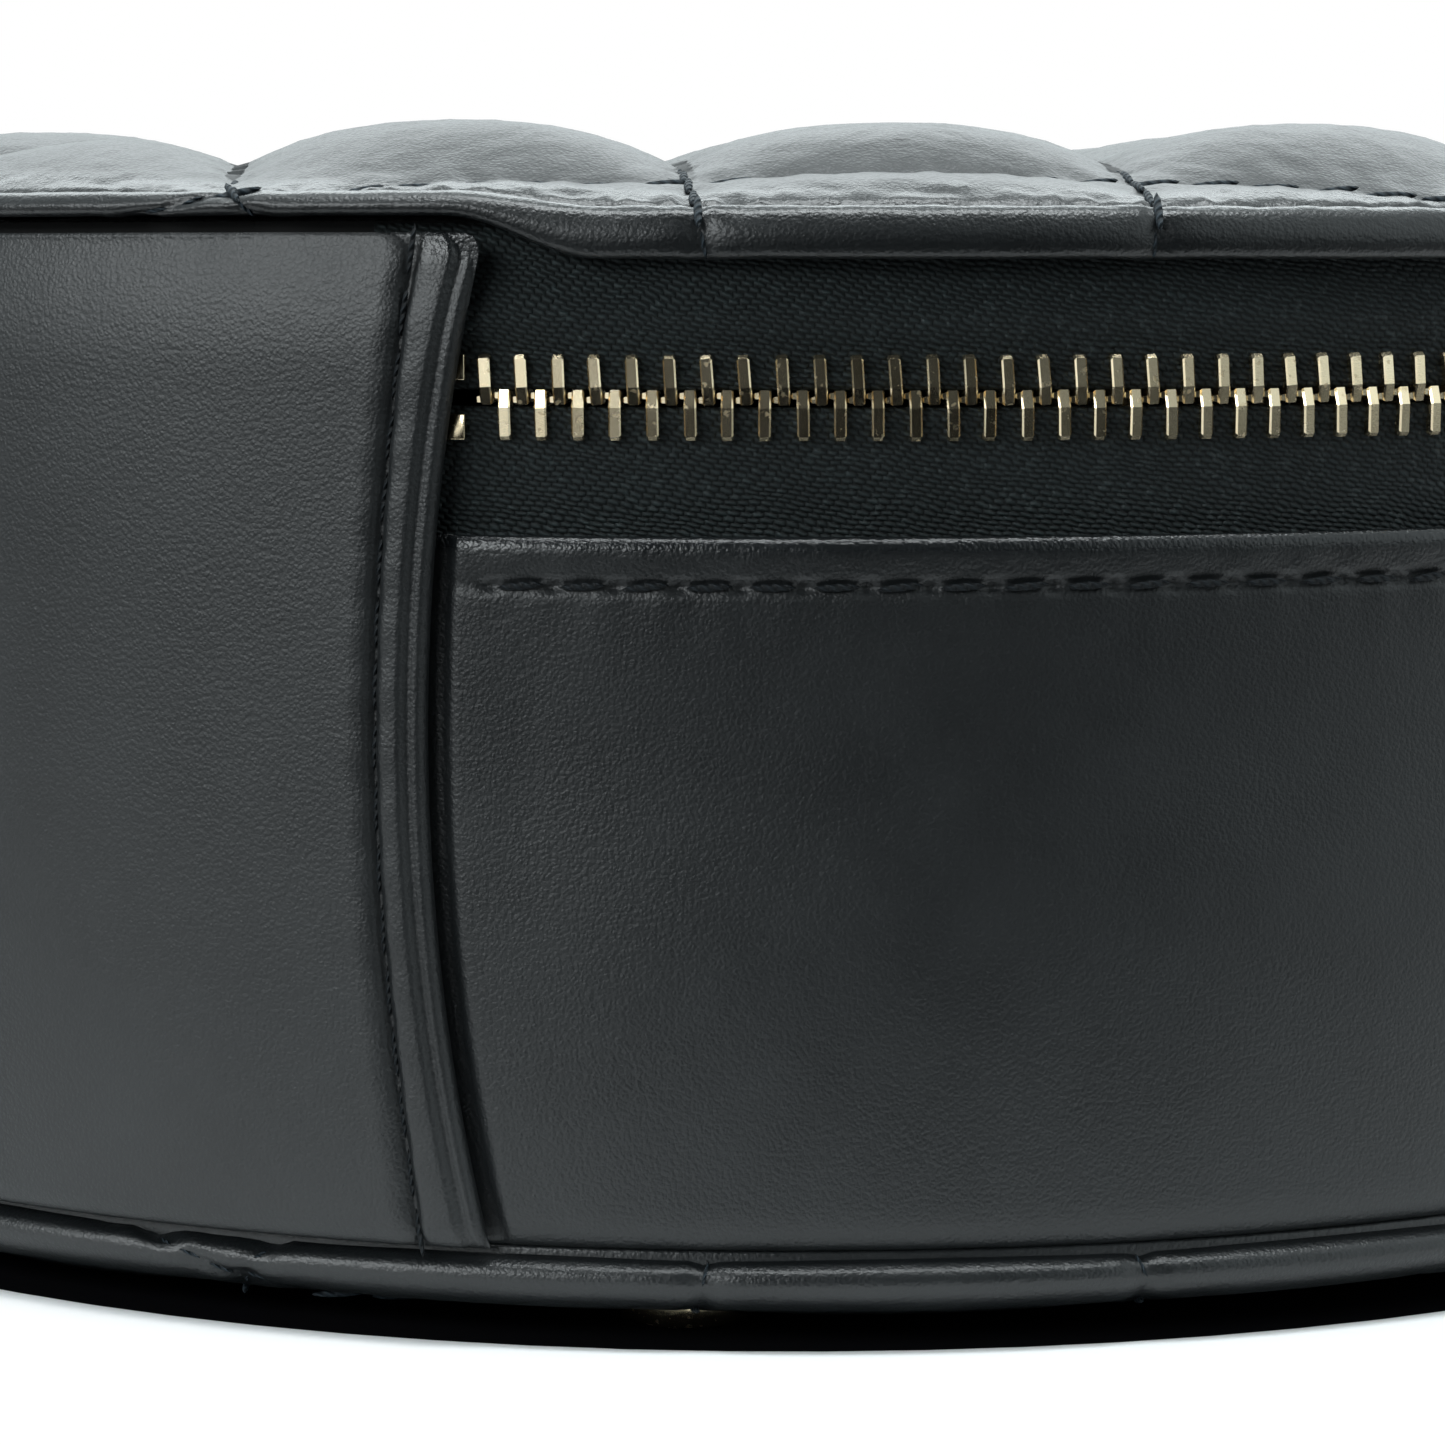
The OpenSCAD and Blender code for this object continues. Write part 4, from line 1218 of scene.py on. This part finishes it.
def bed_loops():
    """The bed as loops across it, from one end of its straight edge to the other."""
    reach = math.sqrt(room_r ** 2 - (bed_low[1] + 2) ** 2) - 0.6
    x = np.linspace(-reach, reach, 90)[:, None]
    deep = np.sqrt(room_r ** 2 - x ** 2) - bed_low[1] - 0.3
    share = np.linspace(0, 1, 60)
    y = bed_low[1] + deep * share
    side = np.minimum(share, 1 - share) * deep
    ends = reach - abs(x)
    soft = np.minimum(np.sqrt(np.clip(1 - (1 - np.minimum(side / 1.6, 1)) ** 2, 0, 1)),
                      np.sqrt(np.clip(1 - (1 - np.minimum(ends / 1.6, 1)) ** 2, 0.02, 1)))
    tall = bed_high[2] - bed_low[2]
    z = bed_low[2] + 0.3 + (tall - 0.4) * soft
    z = z - 0.5 * (1 + np.cos(2 * math.pi * (y - roll_y) / roll_pitch)) * soft
    top = np.stack([x + 0 * y, y, z], -1)
    low = np.stack([x + 0 * y, y, bed_low[2] + 0 * y], -1)
    return np.concatenate([top, low[:, ::-1]], 1)


ring_bed = loops_piece("ring_bed_suede", suede_material, bed_loops())
fit(ring_bed, "case_body", "ring_bed")

# ==== Floor, light and camera ====
# A sheet of white paper that ends in front of the case, soft lamps above it, behind it and at its
# left, white walls behind and beside it, and a dark room behind the camera.

camera_at = Vector((-192.9, 235.9, 59.6)) * MM
camera_turn = math.radians(140.0)
camera_dip = math.radians(6.43)
look = Vector((math.sin(camera_turn) * math.cos(camera_dip),
               math.cos(camera_turn) * math.cos(camera_dip), -math.sin(camera_dip)))
ahead = look.to_2d().normalized()

floor_r = 540
floor_front = 118


def studio_floor():
    """White paper: under the case it is shaded by the light alone, and further out it also shows
    as white as the walls, first to the eye and further still in reflections."""
    paper = Finish("white_paper", Roughness=0.9)
    fibre = paper.speckle(0.6, 3)
    from_case = paper.node("ShaderNodeVectorMath", {"operation": "LENGTH"}, {0: paper.place},
                           out="Value") / (rim_r * MM)
    clear = ((from_case - 1.0) * 30).clamp(0, 0.85)
    clear_further = (from_case - 1.1).clamp(0, 0.8)
    paper.feed("Base Color", paper.blend(fibre, (0.9, 0.91, 0.915), (0.95, 0.96, 0.965)))
    straight, glossy, through = [paper.node("ShaderNodeLightPath", out=f"Is {kind} Ray")
                                 for kind in ("Camera", "Glossy", "Transmission")]
    mirrored = glossy.math("MAXIMUM", glossy, through)
    white = paper.node("ShaderNodeEmission", {}, {"Strength": 1.0}, out=0)
    mixed = paper.node("ShaderNodeMixShader", {},
                       {0: straight * clear + mirrored * clear_further, 2: white})
    paper.tree.links.new(paper.shader.outputs[0], mixed.socket.node.inputs[1])
    out = paper.tree.nodes["Material Output"]
    paper.tree.links.new(mixed.socket, out.inputs["Surface"])
    return paper.material


def painted_shade_card_finish():
    """Black sheet under the case as painted shade where its shadow falls; it also keeps light from
    coming back up under its sole.
    """
    card = Finish("painted_shade_card", Roughness=1.0, Specular_IOR_Level=0.0)
    card.feed("Base Color", card.blend(card.speckle(0.4, 3), (0.003, 0.003, 0.0035),
                                       (0.006, 0.006, 0.007)))
    return card.material


def stage_disc(name, radius, middle, height, material):
    """A flat round sheet of the studio."""
    turn = np.linspace(0, 2 * math.pi, 96, endpoint=False)
    points = np.stack([middle[0] + radius * np.cos(turn), middle[1] + radius * np.sin(turn),
                       height + 0 * turn], 1)
    mesh_piece(name, points, [tuple(range(len(turn)))], material)


floor_middle = (floor_r - floor_front) * np.array(ahead)
card_t = 0.02
stage_disc("studio_floor", floor_r, floor_middle, 0, studio_floor())
# A black disc just inside the case's rim: painted shade under the sole.
stage_disc("painted_shade_card", rim_r - 0.9, (0, 0), card_t, painted_shade_card_finish())

world = bpy.data.worlds.new("studio")
bpy.context.scene.world = world
world.use_nodes = True
sky = Wiring(world.node_tree)
background = sky.tree.nodes["Background"]
straight = sky.node("ShaderNodeLightPath", out="Is Camera Ray")
way = sky.node("ShaderNodeTexCoord", out="Generated")
x, y, z = sky.parts(way)
to_camera = x * -ahead.x + y * -ahead.y
to_right = x * ahead.y + y * -ahead.x
facing = (to_camera * 0.985 - to_right * 0.17) / (1 - z * z).clamp(0.02, 1) ** 0.5
room = sky.node("ShaderNodeMapRange", {"interpolation_type": "SMOOTHSTEP"},
                {"Value": facing, "From Min": 0.45, "From Max": 0.9, "To Min": 1.0,
                 "To Max": 0.03})
walls = room * (0.82 + to_right * 0.42) + (to_camera * -0.6).clamp(0, 0.6)
light = straight + (1 - straight) * walls * (z * 8 + 0.6).clamp(0.1, 1)
tint = sky.blend(straight, (0.88, 0.98, 1.0), (1, 1, 1))
sky.tree.links.new(light.socket, background.inputs["Strength"])
sky.tree.links.new(tint.socket, background.inputs["Color"])


def soft_lamp(name, at, width, height, power, aim=(0, 0, 30)):
    lamp = bpy.data.lights.new(name, "AREA")
    lamp.shape = "RECTANGLE"
    lamp.size = width * MM
    lamp.size_y = height * MM
    lamp.energy = power
    lamp.color = (0.93, 0.985, 1.0)
    piece = into_scene(name, lamp)
    piece.location = Vector(at) * MM
    piece.rotation_euler = (Vector(aim) - Vector(at)).to_track_quat("-Z", "Y").to_euler()


ridge = (-54, 64, 62)
soft_lamp("overhead_softbox", (-67, 80, 662), 500, 190, 4.1, aim=ridge)
soft_lamp("back_softbox", (283, -337, 429), 700, 300, 1.3, aim=ridge)
soft_lamp("left_softbox", (25, 606, 120), 600, 400, 0.72)
soft_lamp("high_left_softbox", (19, 530, 262), 400, 160, 1.75)

lens = bpy.data.cameras.new("camera")
lens.lens = 103.4
lens.sensor_width = 36
lens.clip_start = 0.01
camera = into_scene("camera", lens)
camera.location = camera_at
camera.rotation_euler = look.to_track_quat("-Z", "Y").to_euler()
bpy.context.scene.camera = camera
bpy.context.scene.view_settings.view_transform = "Standard"
